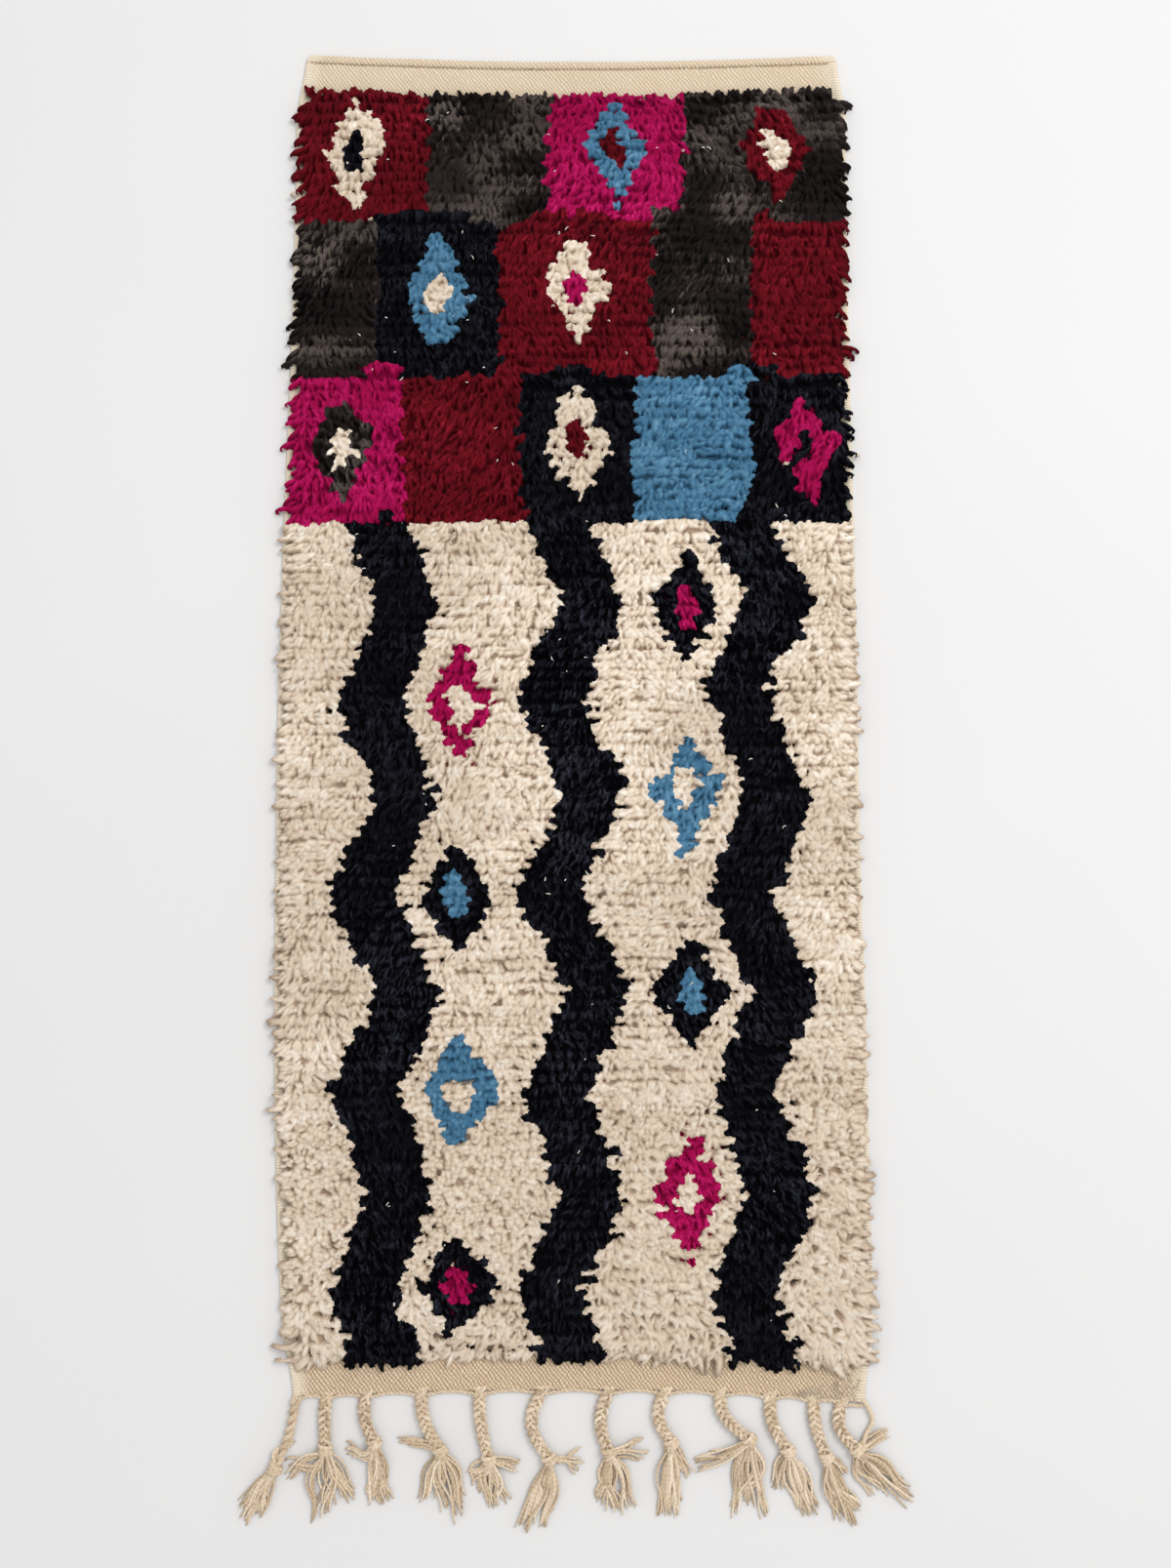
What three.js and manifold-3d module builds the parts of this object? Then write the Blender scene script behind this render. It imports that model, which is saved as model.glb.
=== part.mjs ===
// Berber runner rug lying flat: knotted wool pile on a flat-woven ground, with the warp ends plaited and tied.
// Millimetres, +Z up. The floor is z = 0, and +Y runs from the plaited end to the hemmed end.
import * as THREE from "three";
import { mergeVertices } from "three/addons/utils/BufferGeometryUtils.js";
import Module from "manifold-3d";

const wasm = await Module();
wasm.setup();

// Ground cloth
const LENGTH = 1752; // plaited edge to hemmed edge
const GROUND_THICK = 3;
const HEM_BAND = 40; // bare weave at the plaited end
const HEADING_BAND = 48; // bare weave at the hemmed end
const SELVEDGE = 11; // bare weave along each side
const END_DRAW_IN = 12; // how far the bare ends pull in on each side
const END_DRAW_LENGTH = 95;
const HEADING_SAG = 10; // the hemmed edge dips this much at mid width
const END_FADE = 150; // the shape of an end edge dies out over this length

// Pile
const PILE_TOP = 17; // mean height over the floor
const ROW_PITCH = 14; // one row of knots to the next
const ROW_LIFT = 1.3; // every second row rides up on its neighbour
const LUMP = 2.6; // how far a bunch of tufts stands above or below its row
const ROW_WAVER = 4; // how far a bunch strays up or down the rug
const BUNCHES_ACROSS = 18;
const RIM_SLOPE = 3; // plan width of the pile's steep side
const RIM_WANDER = 5; // how far the end of a row strays

// Locks that hang over the rim of the pile
const LOCK_LENGTH = 25;
const LOCK_RADIUS = 5;
const LOCK_SIDES = 4;
const LOCK_FLATNESS = 0.7;
const LOCK_ROOT = { inside: 11, height: 11 };
const LOCK_TIP_HEIGHT = 6.5;
const LOCKS_PER_SIDE = 30;
const LOCKS_PER_END = 12;

// Plaits and tassels
const PIECE_GAP = 0.3;
const PLAIT_WIDTH = 17;
const PLAIT_THICK = 10;
const CHEVRON = 10; // length of one V of the plait
const STEPS_PER_CHEVRON = 2;
const CHEVRON_SWELL = 0.12;
const CHEVRON_RISE = 1.3;
const KNOT = { across: 12, along: 10, high: 7 };
const SKIRT_SHARE = 0.4; // of a tassel's length, where its yarns still lie close
const SKIRT_HEIGHT = 4.6;
const STRAND_WIDTH = 4.4;
const STRAND_HEIGHT = 3.8;
const STRAND_SIZES = [0.6, 1, 0.6]; // from the skirt to the cut end
const STRAND_PITCH = 7.2; // tip to tip
const STRAND_BOW = 0.07; // sideways bow as a share of the length
const STRAND_UNEVEN = 0.14; // how much shorter than the longest a strand may be
const SIDE_SPREAD = 11; // half angle of the small side bunch, degrees

const WOOL = new THREE.MeshStandardMaterial({ color: 0xdcc8b2, roughness: 0.95, metalness: 0 });
const WARP = new THREE.MeshStandardMaterial({ color: 0xcfb898, roughness: 0.9, metalness: 0 });

// How far the two long edges lie from the centre line, at even steps from the plaited end to the hemmed end.
const EDGE_STATIONS = [
  { left: 361, right: 386 },
  { left: 372, right: 384 },
  { left: 379, right: 382 },
  { left: 380, right: 377 },
  { left: 380, right: 376 },
  { left: 376, right: 374 },
  { left: 370, right: 371 },
  { left: 366, right: 369 },
  { left: 366, right: 370 },
];

// How far the plaited edge rises above its level, at even steps from the left corner to the right one.
const HEM_STATIONS = [{ rise: -6 }, { rise: 0 }, { rise: 2 }, { rise: -1 }, { rise: -14 }];

// One row for each plait. root: place along the plaited edge. drift, drop: from the root to the knot, sideways and
// down. sway: sideways bow at half length. aim, spread, tail: the tassel's direction from straight down, positive
// to the right, its half angle, and its length. sideAim, sideTail: the small side bunch, if there is one.
const PLAITS = [
  { root: -344, drift: -25, drop: 88, sway: 4, aim: -33, spread: 15, tail: 78, sideAim: 143, sideTail: 46 },
  { root: -306, drift: 0, drop: 66, sway: -2, aim: 8, spread: 26, tail: 84, sideAim: -63, sideTail: 44 },
  { root: -256, drift: 12, drop: 60, sway: -7, aim: 4, spread: 11, tail: 78, sideAim: -71, sideTail: 38 },
  { root: -186, drift: 25, drop: 72, sway: -8, aim: 2, spread: 27, tail: 80, sideAim: -106, sideTail: 52 },
  { root: -113, drift: 13, drop: 85, sway: -4, aim: 4, spread: 27, tail: 58, sideAim: 85, sideTail: 34 },
  { root: -33, drift: 10, drop: 85, sway: -19, aim: -13, spread: 17, tail: 90, sideAim: 82, sideTail: 42 },
  { root: 51, drift: 0, drop: 76, sway: -11, aim: 1, spread: 22, tail: 74, sideAim: 95, sideTail: 50 },
  { root: 122, drift: 8, drop: 64, sway: -13, aim: -3, spread: 10, tail: 88, sideAim: 22, sideTail: 44 },
  { root: 192, drift: 37, drop: 58, sway: -14, aim: -2, spread: 14, tail: 93, sideAim: -62, sideTail: 74 },
  { root: 255, drift: 22, drop: 68, sway: -9, aim: 18, spread: 9, tail: 82, sideAim: -20, sideTail: 50 },
  { root: 309, drift: 16, drop: 71, sway: -5, aim: 20, spread: 13, tail: 84, sideAim: null, sideTail: 0 },
  { root: 346, drift: 18, drop: 60, sway: -14, aim: 38, spread: 17, tail: 84, sideAim: 118, sideTail: 44 },
];

const mix = THREE.MathUtils.lerp;
const radians = THREE.MathUtils.degToRad;

// A fixed number from 0 to 1 for a pair of counts, so that every build is the same.
function chance(i, j) {
  const wave = Math.sin(i * 127.1 + j * 311.7) * 43758.5453;
  return wave - Math.floor(wave);
}

// The same from -1 to 1.
const stray = (i, j) => 2 * chance(i, j) - 1;

// A smooth curve through evenly spaced values, read at a share from 0 to 1.
function through(values) {
  const curve = new THREE.SplineCurve(values.map((v, i) => new THREE.Vector2(v, i)));
  return (share) => curve.getPoint(THREE.MathUtils.clamp(share, 0, 1)).x;
}

const leftEdge = through(EDGE_STATIONS.map((s) => s.left));
const rightEdge = through(EDGE_STATIONS.map((s) => s.right));
const hemRise = through(HEM_STATIONS.map((s) => s.rise));

// Half width on one side at a height up the rug, drawn in at the bare ends.
function halfWidth(edge, up) {
  const fromEnd = Math.min(up, LENGTH - up);
  const drawn = END_DRAW_IN * (1 - THREE.MathUtils.smoothstep(fromEnd, 0, END_DRAW_LENGTH));
  return edge(up / LENGTH) - drawn;
}

// The true y of a point that lies up the rug at x: the two end edges aren't straight.
function bentUp(x, up) {
  const share = (x + leftEdge(0)) / (leftEdge(0) + rightEdge(0));
  const nearHem = 1 - THREE.MathUtils.smoothstep(up, 0, END_FADE);
  const nearHeading = 1 - THREE.MathUtils.smoothstep(LENGTH - up, 0, END_FADE);
  const sag = HEADING_SAG * Math.sin(Math.PI * THREE.MathUtils.clamp(share, 0, 1));
  return up + nearHem * hemRise(share) - nearHeading * sag;
}

// A closed geometry as a solid, and a solid as a geometry.
function solidOf(geometry) {
  const bare = geometry.clone();
  bare.deleteAttribute("normal");
  bare.deleteAttribute("uv");
  const merged = mergeVertices(bare, 1e-4);
  const mesh = { numProp: 3, vertProperties: merged.attributes.position.array, triVerts: merged.index.array };
  return new wasm.Manifold(new wasm.Mesh({ ...mesh, triVerts: new Uint32Array(mesh.triVerts) }));
}

function geometryOf(solid) {
  const { vertProperties, triVerts } = solid.getMesh();
  const geometry = new THREE.BufferGeometry();
  geometry.setAttribute("position", new THREE.BufferAttribute(vertProperties, 3));
  geometry.setIndex(new THREE.BufferAttribute(triVerts, 1));
  geometry.computeVertexNormals();
  return geometry;
}

function geometryFrom(points, triangles) {
  const geometry = new THREE.BufferGeometry().setFromPoints(points);
  geometry.setIndex(triangles);
  return geometry;
}

// A closed skin over rings of equal point counts, which run counter-clockwise seen from the first ring's outside.
function loft(rings) {
  const count = rings[0].length;
  const triangles = [];
  for (let r = 0; r + 1 < rings.length; r++) {
    for (let k = 0; k < count; k++) {
      const a = r * count + k;
      const b = r * count + ((k + 1) % count);
      triangles.push(a, b + count, b, a, a + count, b + count);
    }
  }
  const last = (rings.length - 1) * count;
  for (let k = 1; k + 1 < count; k++) {
    triangles.push(0, k, k + 1, last, last + k + 1, last + k);
  }
  return geometryFrom(rings.flat(), triangles);
}

// Heights up the rug of the grid's rows: the bare ends, the feet of the pile, and each row of knots.
function gridRows() {
  const first = HEM_BAND + RIM_SLOPE;
  const last = LENGTH - HEADING_BAND - RIM_SLOPE;
  const count = Math.round((last - first) / ROW_PITCH);
  const rows = [{ up: 0, pile: false }, { up: HEM_BAND, pile: false }];
  for (let r = 0; r <= count; r++) {
    rows.push({ up: mix(first, last, r / count), pile: true });
  }
  rows.push({ up: LENGTH - HEADING_BAND, pile: false }, { up: LENGTH, pile: false });
  return rows;
}

// Places across one row: the selvedges, the feet of the pile, and each bunch of tufts.
function gridColumns(up, row) {
  const left = -halfWidth(leftEdge, up);
  const right = halfWidth(rightEdge, up);
  const footLeft = left + SELVEDGE + RIM_WANDER * stray(row, 1);
  const footRight = right - SELVEDGE - RIM_WANDER * stray(row, 2);
  const columns = [{ x: left, pile: false }, { x: footLeft, pile: false }];
  for (let c = 0; c <= BUNCHES_ACROSS; c++) {
    const x = mix(footLeft + RIM_SLOPE, footRight - RIM_SLOPE, c / BUNCHES_ACROSS);
    columns.push({ x, pile: true });
  }
  columns.push({ x: footRight, pile: false }, { x: right, pile: false });
  return columns;
}

// The upper face of the rug as a grid of points: bare weave round a lumpy field of pile.
function upperFace() {
  return gridRows().map(({ up, pile }, row) =>
    gridColumns(up, row).map((column, c) => {
      const inPile = pile && column.pile;
      if (!inPile) return new THREE.Vector3(column.x, bentUp(column.x, up), GROUND_THICK);
      const lumpy = PILE_TOP + ROW_LIFT * (row % 2 ? 1 : -1) + LUMP * stray(row, c + 10);
      return new THREE.Vector3(column.x, bentUp(column.x, up + ROW_WAVER * stray(row, c + 60)), lumpy);
    }),
  );
}

// The plaited edge's true y at x, along the straight runs between the grid's columns.
function hemLine(x) {
  const edge = gridColumns(0, 0).map((column) => ({ x: column.x, y: bentUp(column.x, 0) }));
  const next = Math.max(1, edge.findIndex((point) => point.x > x));
  const [a, b] = [edge[next - 1], edge[next]];
  return mix(a.y, b.y, (x - a.x) / (b.x - a.x));
}

// The rug without its locks: the upper face, a wall down from its rim, and a flat underside.
function slab() {
  const face = upperFace();
  const wide = face[0].length;
  const high = face.length;
  const points = face.flat();
  const triangles = [];
  for (let r = 0; r + 1 < high; r++) {
    for (let c = 0; c + 1 < wide; c++) {
      const a = r * wide + c;
      triangles.push(a, a + 1, a + wide + 1, a, a + wide + 1, a + wide);
    }
  }
  const rim = [];
  for (let c = 0; c < wide; c++) rim.push(c);
  for (let r = 1; r < high; r++) rim.push(r * wide + wide - 1);
  for (let c = wide - 2; c >= 0; c--) rim.push((high - 1) * wide + c);
  for (let r = high - 2; r > 0; r--) rim.push(r * wide);
  const under = points.length;
  rim.forEach((p) => points.push(points[p].clone().setZ(0)));
  rim.forEach((p, i) => {
    const next = (i + 1) % rim.length;
    triangles.push(p, under + i, under + next, p, under + next, rim[next]);
  });
  const outline = rim.map((p) => new THREE.Vector2(points[p].x, points[p].y));
  for (const [a, b, c] of THREE.ShapeUtils.triangulateShape(outline, [])) {
    triangles.push(under + a, under + c, under + b);
  }
  return geometryFrom(points, triangles);
}

// One pointed lock from a root inside the pile, out over the rim and down.
function lock(foot, outward) {
  const root = foot.clone().addScaledVector(outward, -LOCK_ROOT.inside).setZ(LOCK_ROOT.height);
  const tip = root.clone().addScaledVector(outward, LOCK_LENGTH).setZ(LOCK_TIP_HEIGHT);
  const along = tip.clone().sub(root);
  const geometry = new THREE.ConeGeometry(LOCK_RADIUS, along.length(), LOCK_SIDES);
  geometry.rotateY(Math.PI / LOCK_SIDES);
  geometry.scale(1, 1, LOCK_FLATNESS);
  const up = new THREE.Vector3(0, 0, 1);
  const ahead = along.normalize();
  const across = new THREE.Vector3().crossVectors(ahead, up).normalize();
  const turn = new THREE.Matrix4().makeBasis(across, ahead, new THREE.Vector3().crossVectors(across, ahead));
  return geometry.applyMatrix4(turn.setPosition(root.lerp(tip, 0.5)));
}

// Feet and directions of the locks round the rim.
function lockPlaces() {
  const places = [];
  const pileLength = LENGTH - HEM_BAND - HEADING_BAND;
  for (let i = 0; i < LOCKS_PER_SIDE; i++) {
    for (const side of [-1, 1]) {
      const up = HEM_BAND + (pileLength * (i + 0.5 + 0.3 * stray(i, side))) / LOCKS_PER_SIDE;
      const half = halfWidth(side < 0 ? leftEdge : rightEdge, up);
      const foot = new THREE.Vector3(side * (half - SELVEDGE), bentUp(side * half, up), 0);
      places.push({ foot, heading: new THREE.Vector3(side, 0.35 * stray(i, side + 5), 0) });
    }
  }
  for (let i = 0; i < LOCKS_PER_END; i++) {
    for (const end of [-1, 1]) {
      const up = end < 0 ? HEM_BAND : LENGTH - HEADING_BAND;
      const share = (i + 0.5 + 0.3 * stray(i, end + 20)) / LOCKS_PER_END;
      const x = mix(-halfWidth(leftEdge, up) + 2 * SELVEDGE, halfWidth(rightEdge, up) - 2 * SELVEDGE, share);
      const foot = new THREE.Vector3(x, bentUp(x, up), 0);
      places.push({ foot, heading: new THREE.Vector3(0.35 * stray(i, end + 30), end, 0) });
    }
  }
  return places;
}

function rug() {
  let solid = solidOf(slab());
  for (const { foot, heading } of lockPlaces()) {
    solid = solid.add(solidOf(lock(foot, heading.normalize())));
  }
  return new THREE.Mesh(geometryOf(solid), WOOL);
}

// One ring of a plait: flat below, with the strand that crosses over standing out to its own side.
function plaitRing(centre, side, step) {
  const over = step % 2 ? 1 : -1;
  const half = PLAIT_WIDTH / 2;
  const outLeft = half * (1 - CHEVRON_SWELL * over);
  const outRight = half * (1 + CHEVRON_SWELL * over);
  const profile = [
    { out: -0.6 * outLeft, high: 0 },
    { out: 0.6 * outRight, high: 0 },
    { out: outRight, high: 0.45 * PLAIT_THICK },
    { out: 0.62 * outRight, high: PLAIT_THICK + CHEVRON_RISE * over },
    { out: 0.12 * half * over, high: 0.86 * PLAIT_THICK },
    { out: -0.62 * outLeft, high: PLAIT_THICK - CHEVRON_RISE * over },
    { out: -outLeft, high: 0.45 * PLAIT_THICK },
  ];
  return profile.map(({ out, high }) => centre.clone().addScaledVector(side, out).setZ(high));
}

// The sideways direction on the floor, to the right of a line seen from above.
const rightOf = (along) => new THREE.Vector3(along.y, -along.x, 0).normalize();

function plaitBody(root, knot, sway) {
  const middle = root.clone().lerp(knot, 0.5);
  middle.addScaledVector(new THREE.Vector3(1, 0, 0), sway);
  const curve = new THREE.CatmullRomCurve3([root, middle, knot]);
  const steps = Math.round((curve.getLength() / CHEVRON) * STEPS_PER_CHEVRON);
  const rings = [];
  for (let i = 0; i <= steps; i++) {
    const side = i ? rightOf(curve.getTangentAt(i / steps)) : new THREE.Vector3(-1, 0, 0);
    rings.push(plaitRing(curve.getPointAt(i / steps), side, i));
  }
  rings[0].forEach((point) => point.setY(hemLine(point.x) - PIECE_GAP));
  return solidOf(loft(rings));
}

function knotBody(centre) {
  const ball = new THREE.SphereGeometry(1, 8, 5).rotateX(Math.PI / 2);
  ball.scale(KNOT.across, KNOT.along, KNOT.high);
  return solidOf(ball.translate(centre.x, centre.y, KNOT.high));
}

// Straight ahead on the floor at an angle from straight down, positive to the right.
const towards = (angle) => new THREE.Vector3(Math.sin(angle), -Math.cos(angle), 0);

// The close upper part of a tassel: a flat fan from inside the knot.
function skirt(knot, angle, halfFan, reach) {
  const ahead = towards(angle);
  const side = rightOf(ahead);
  const rings = [0.2, 1].map((share) => {
    const centre = knot.clone().addScaledVector(ahead, reach * share);
    const half = Math.tan(halfFan) * reach * share + STRAND_WIDTH / 3;
    return [
      centre.clone().addScaledVector(side, -half),
      centre.clone().addScaledVector(side, half),
      centre.clone().addScaledVector(side, 0.8 * half).setZ(SKIRT_HEIGHT),
      centre.clone().addScaledVector(side, -0.8 * half).setZ(SKIRT_HEIGHT),
    ];
  });
  return solidOf(loft(rings));
}

// One three-sided strand that lies on the floor from inside the skirt to its cut end.
function strand(knot, angle, start, length, bow) {
  const ahead = towards(angle);
  const middle = knot.clone().addScaledVector(ahead, (start + length) / 2);
  middle.addScaledVector(rightOf(ahead), bow * length);
  const first = knot.clone().addScaledVector(ahead, start);
  const tip = knot.clone().addScaledVector(ahead, length);
  const curve = new THREE.QuadraticBezierCurve3(first, middle, tip);
  const rings = STRAND_SIZES.map((size, i) => {
    const share = i / (STRAND_SIZES.length - 1);
    const centre = curve.getPoint(share);
    const side = rightOf(curve.getTangent(share)).multiplyScalar((STRAND_WIDTH * size) / 2);
    const ridge = centre.clone().setZ(STRAND_HEIGHT * size);
    return [centre.clone().sub(side), centre.clone().add(side), ridge];
  });
  return solidOf(loft(rings));
}

// A tassel or side bunch: its skirt, and as many strands as lie side by side at their tips.
function bunch(knot, aim, spread, tail, seed) {
  const halfFan = radians(spread);
  const reach = SKIRT_SHARE * tail;
  const count = Math.max(3, Math.round((2 * halfFan * tail) / STRAND_PITCH));
  const bodies = [skirt(knot, radians(aim), halfFan, reach)];
  for (let i = 0; i < count; i++) {
    const turn = halfFan * ((2 * i) / (count - 1) - 1);
    const length = tail * (1 - STRAND_UNEVEN * chance(seed, i));
    bodies.push(strand(knot, radians(aim) + turn, 0.85 * reach, length, STRAND_BOW * Math.sin(2 * turn)));
  }
  return bodies;
}

function plait(row, index) {
  const root = new THREE.Vector3(row.root, hemLine(row.root) - PIECE_GAP, 0);
  const knot = new THREE.Vector3(row.root + row.drift, root.y - row.drop, 0);
  let solid = plaitBody(root, knot, row.sway).add(knotBody(knot));
  const bodies = bunch(knot, row.aim, row.spread, row.tail, index);
  if (row.sideTail) {
    bodies.push(...bunch(knot, row.sideAim, SIDE_SPREAD, row.sideTail, index + 50));
  }
  for (const body of bodies) {
    solid = solid.add(body);
  }
  const mesh = new THREE.Mesh(geometryOf(solid), WARP);
  mesh.name = `plait_${String(index + 1).padStart(2, "0")}`;
  return mesh;
}

// The whole rug, centred on its box and standing on the floor.
function runner() {
  const group = new THREE.Group();
  const body = rug();
  body.name = "rug";
  group.add(body, ...PLAITS.map(plait));
  const centre = new THREE.Box3().setFromObject(group).getCenter(new THREE.Vector3());
  group.children.forEach((mesh) => mesh.position.set(-centre.x, -centre.y, 0));
  return group;
}

export default runner();
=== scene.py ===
"""Berber runner rug: knotted wool pile on a woven ground, hemmed at one end and plaited at the other.

Sizes are in millimetres on the rug's own drawing: x from its centre line, y up from the plaited edge.
"""

from __future__ import annotations

import logging
import math
from dataclasses import dataclass
from enum import Enum
from itertools import product

import bpy
import numpy as np
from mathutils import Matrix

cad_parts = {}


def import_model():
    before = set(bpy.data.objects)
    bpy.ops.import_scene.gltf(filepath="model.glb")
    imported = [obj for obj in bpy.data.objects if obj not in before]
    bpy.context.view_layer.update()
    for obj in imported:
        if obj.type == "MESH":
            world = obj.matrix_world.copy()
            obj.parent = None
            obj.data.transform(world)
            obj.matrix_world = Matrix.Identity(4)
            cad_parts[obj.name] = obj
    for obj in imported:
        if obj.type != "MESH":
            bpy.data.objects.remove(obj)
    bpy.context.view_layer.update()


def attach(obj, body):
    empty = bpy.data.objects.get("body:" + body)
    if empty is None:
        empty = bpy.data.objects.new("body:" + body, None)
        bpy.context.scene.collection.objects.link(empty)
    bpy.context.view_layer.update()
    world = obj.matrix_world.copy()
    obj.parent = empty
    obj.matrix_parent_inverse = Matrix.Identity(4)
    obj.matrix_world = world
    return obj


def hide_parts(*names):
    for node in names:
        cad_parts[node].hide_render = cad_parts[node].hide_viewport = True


LOG = logging.getLogger("berber_runner")
MM = 0.001
DRAWING_SHIFT = np.array([0.671, -789.792, 0.0])
BODY = "root"
UPWARDS = np.array([0.0, 0.0, 1.0])
Socket = bpy.types.NodeSocket
Yarns = tuple[np.ndarray, np.ndarray]


class Wool(Enum):
    """The dyed and undyed wools of the pile."""

    IVORY = "ivory"
    BLACK = "black"
    CHARCOAL = "charcoal"
    BURGUNDY = "burgundy"
    MAGENTA = "magenta"
    BLUE = "blue"

    @property
    def number(self) -> int:
        """Its place in the order above."""
        return list(Wool).index(self)


class Motif(Enum):
    """The shapes that the pile's design is knotted in."""

    BLOCK = "block"
    LOZENGE = "lozenge"
    ZIGZAG = "zigzag"


class Lay(Enum):
    """How a group of warp ends is laid up."""

    PLAITED = "plaited"
    TWISTED = "twisted"


def linear(code: str) -> tuple[float, float, float, float]:
    """Turns an sRGB hex colour to linear.

    Args:
        code: Six hex digits.

    Returns:
        Red, green, blue and an alpha of one.
    """
    parts = [int(code[i : i + 2], 16) / 255 for i in (0, 2, 4)]
    red, green, blue = (p / 12.92 if p <= 0.04045 else ((p + 0.055) / 1.055) ** 2.4 for p in parts)
    return red, green, blue, 1.0


def add_node(tree: bpy.types.NodeTree, kind: str, inputs: dict, **settings) -> bpy.types.Node:
    """Adds a shader node.

    Args:
        tree: The material's node tree.
        kind: The node's type name.
        inputs: Sockets by name or number, each a value or another node's output.
        settings: The node's own properties.

    Returns:
        The new node.
    """
    node = tree.nodes.new(kind)
    for key, value in settings.items():
        setattr(node, key, value)
    for key, value in inputs.items():
        if isinstance(value, bpy.types.NodeSocket):
            tree.links.new(value, node.inputs[key])
        else:
            node.inputs[key].default_value = value
    return node


@dataclass
class Shading:
    """A material in the making: each method adds a node and returns its output."""

    name: str

    def __post_init__(self) -> None:
        """Starts from an empty node tree."""
        self.material = bpy.data.materials.new(self.name)
        self.material.use_nodes = True
        self.tree = self.material.node_tree
        self.tree.nodes.clear()

    def node(self, kind: str, inputs: dict, out: int | str = 0, **settings) -> Socket:
        """Adds any node and returns one of its outputs."""
        return add_node(self.tree, f"ShaderNode{kind}", inputs, **settings).outputs[out]

    def value(self, title: str) -> Socket:
        """Reads a number that the mesh carries."""
        return self.node("Attribute", {}, "Fac", attribute_name=title)

    def math(self, operation: str, *terms: Socket | float) -> Socket:
        """Works out one sum."""
        return self.node("Math", dict(enumerate(terms)), operation=operation)

    def mix(self, share: Socket, low: Socket | tuple, high: Socket | tuple, blend: str = "MIX") -> Socket:
        """Blends two colours."""
        return self.node("Mix", {0: share, 6: low, 7: high}, 2, data_type="RGBA", blend_type=blend)

    def noise(self, place: Socket, size: float, detail: float, out: str = "Fac", **more: float) -> Socket:
        """Adds soft noise, whose size is in its place's units."""
        return self.node("TexNoise", {"Vector": place, "Scale": 1 / size, "Detail": detail, **more}, out)

    def ramp(self, share: Socket, dark: str, mid: str, light: str) -> Socket:
        """Runs through three colours.

        Args:
            share: Where on the run, from 0 to 1.
            dark: The colour at 0.
            mid: The colour half way.
            light: The colour at 1.

        Returns:
            The colour there.
        """
        ramp = add_node(self.tree, "ShaderNodeValToRGB", {"Fac": share})
        stops = ramp.color_ramp.elements
        stops[0].color, stops[1].color = linear(dark), linear(light)
        stops.new(0.5).color = linear(mid)
        return ramp.outputs["Color"]

    def finish(self, colour: Socket, surface: dict, relief: dict | None = None) -> bpy.types.Material:
        """Closes the material with its shader.

        Args:
            colour: The base colour.
            surface: The shader's other values by name.
            relief: The bump's values by name, if it has one.

        Returns:
            The material.
        """
        if relief:
            surface = {**surface, "Normal": self.node("Bump", relief)}
        shader = self.node("BsdfPrincipled", {"Base Color": colour, **surface})
        add_node(self.tree, "ShaderNodeOutputMaterial", {"Surface": shader})
        return self.material


def lattice_noise(x: np.ndarray, y: np.ndarray, seed: int) -> np.ndarray:
    """Smooth noise on a unit lattice, the same on every run.

    Args:
        x: Places across, in lattice steps.
        y: Places up, in lattice steps.
        seed: Which of the many noises.

    Returns:
        Values from -1 to 1.
    """
    size = 64
    table = np.random.default_rng(seed).uniform(-1, 1, (size, size))
    x, y = np.broadcast_arrays(np.asarray(x, float), np.asarray(y, float))
    column, row = np.floor(x).astype(int), np.floor(y).astype(int)
    u, v = x - column, y - row
    u, v = u * u * (3 - 2 * u), v * v * (3 - 2 * v)
    near, far = (
        table[line % size, column % size] * (1 - u) + table[line % size, (column + 1) % size] * u
        for line in (row, row + 1)
    )
    return near * (1 - v) + far * v


def ease(value: np.ndarray | float, low: float, high: float) -> np.ndarray:
    """A smooth step from 0 at low to 1 at high."""
    share = np.clip((np.asarray(value, float) - low) / (high - low), 0, 1)
    return share * share * (3 - 2 * share)


def through(values: tuple[float, ...], share: np.ndarray | float) -> np.ndarray:
    """Reads a smooth curve through evenly spaced values.

    Args:
        values: The values, first to last.
        share: Where to read, from 0 to 1.

    Returns:
        The curve's values there.
    """
    points = np.asarray(values, float)
    place = np.clip(np.asarray(share, float), 0, 1) * (len(points) - 1)
    first = np.minimum(place.astype(int), len(points) - 2)
    t = place - first
    before, after = np.maximum(first - 1, 0), np.minimum(first + 2, len(points) - 1)
    start, end = points[first], points[first + 1]
    lead, trail = 0.5 * (end - points[before]), 0.5 * (points[after] - start)
    cubic = 2 * start - 2 * end + lead + trail
    square = -3 * start + 3 * end - 2 * lead - trail
    return cubic * t**3 + square * t**2 + lead * t + start


def directions(vectors: np.ndarray) -> np.ndarray:
    """Scales vectors to length one."""
    return vectors / np.maximum(np.linalg.norm(vectors, axis=-1, keepdims=True), 1e-9)


def among(numbers: np.ndarray, wools: tuple[Wool, ...]) -> np.ndarray:
    """Tells which numbers stand for one of some wools."""
    return np.isin(numbers, [wool.number for wool in wools])


def steps_about(reach: int) -> list[tuple[int, int]]:
    """The steps from a cell to all those within a reach, and to itself."""
    return list(product(range(-reach, reach + 1), repeat=2))


def counted(layers: np.ndarray, reach: int) -> np.ndarray:
    """Counts the true cells in a square about each cell, layer by layer."""
    return sum(np.roll(layers, step, (1, 2)) for step in steps_about(reach))


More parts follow.
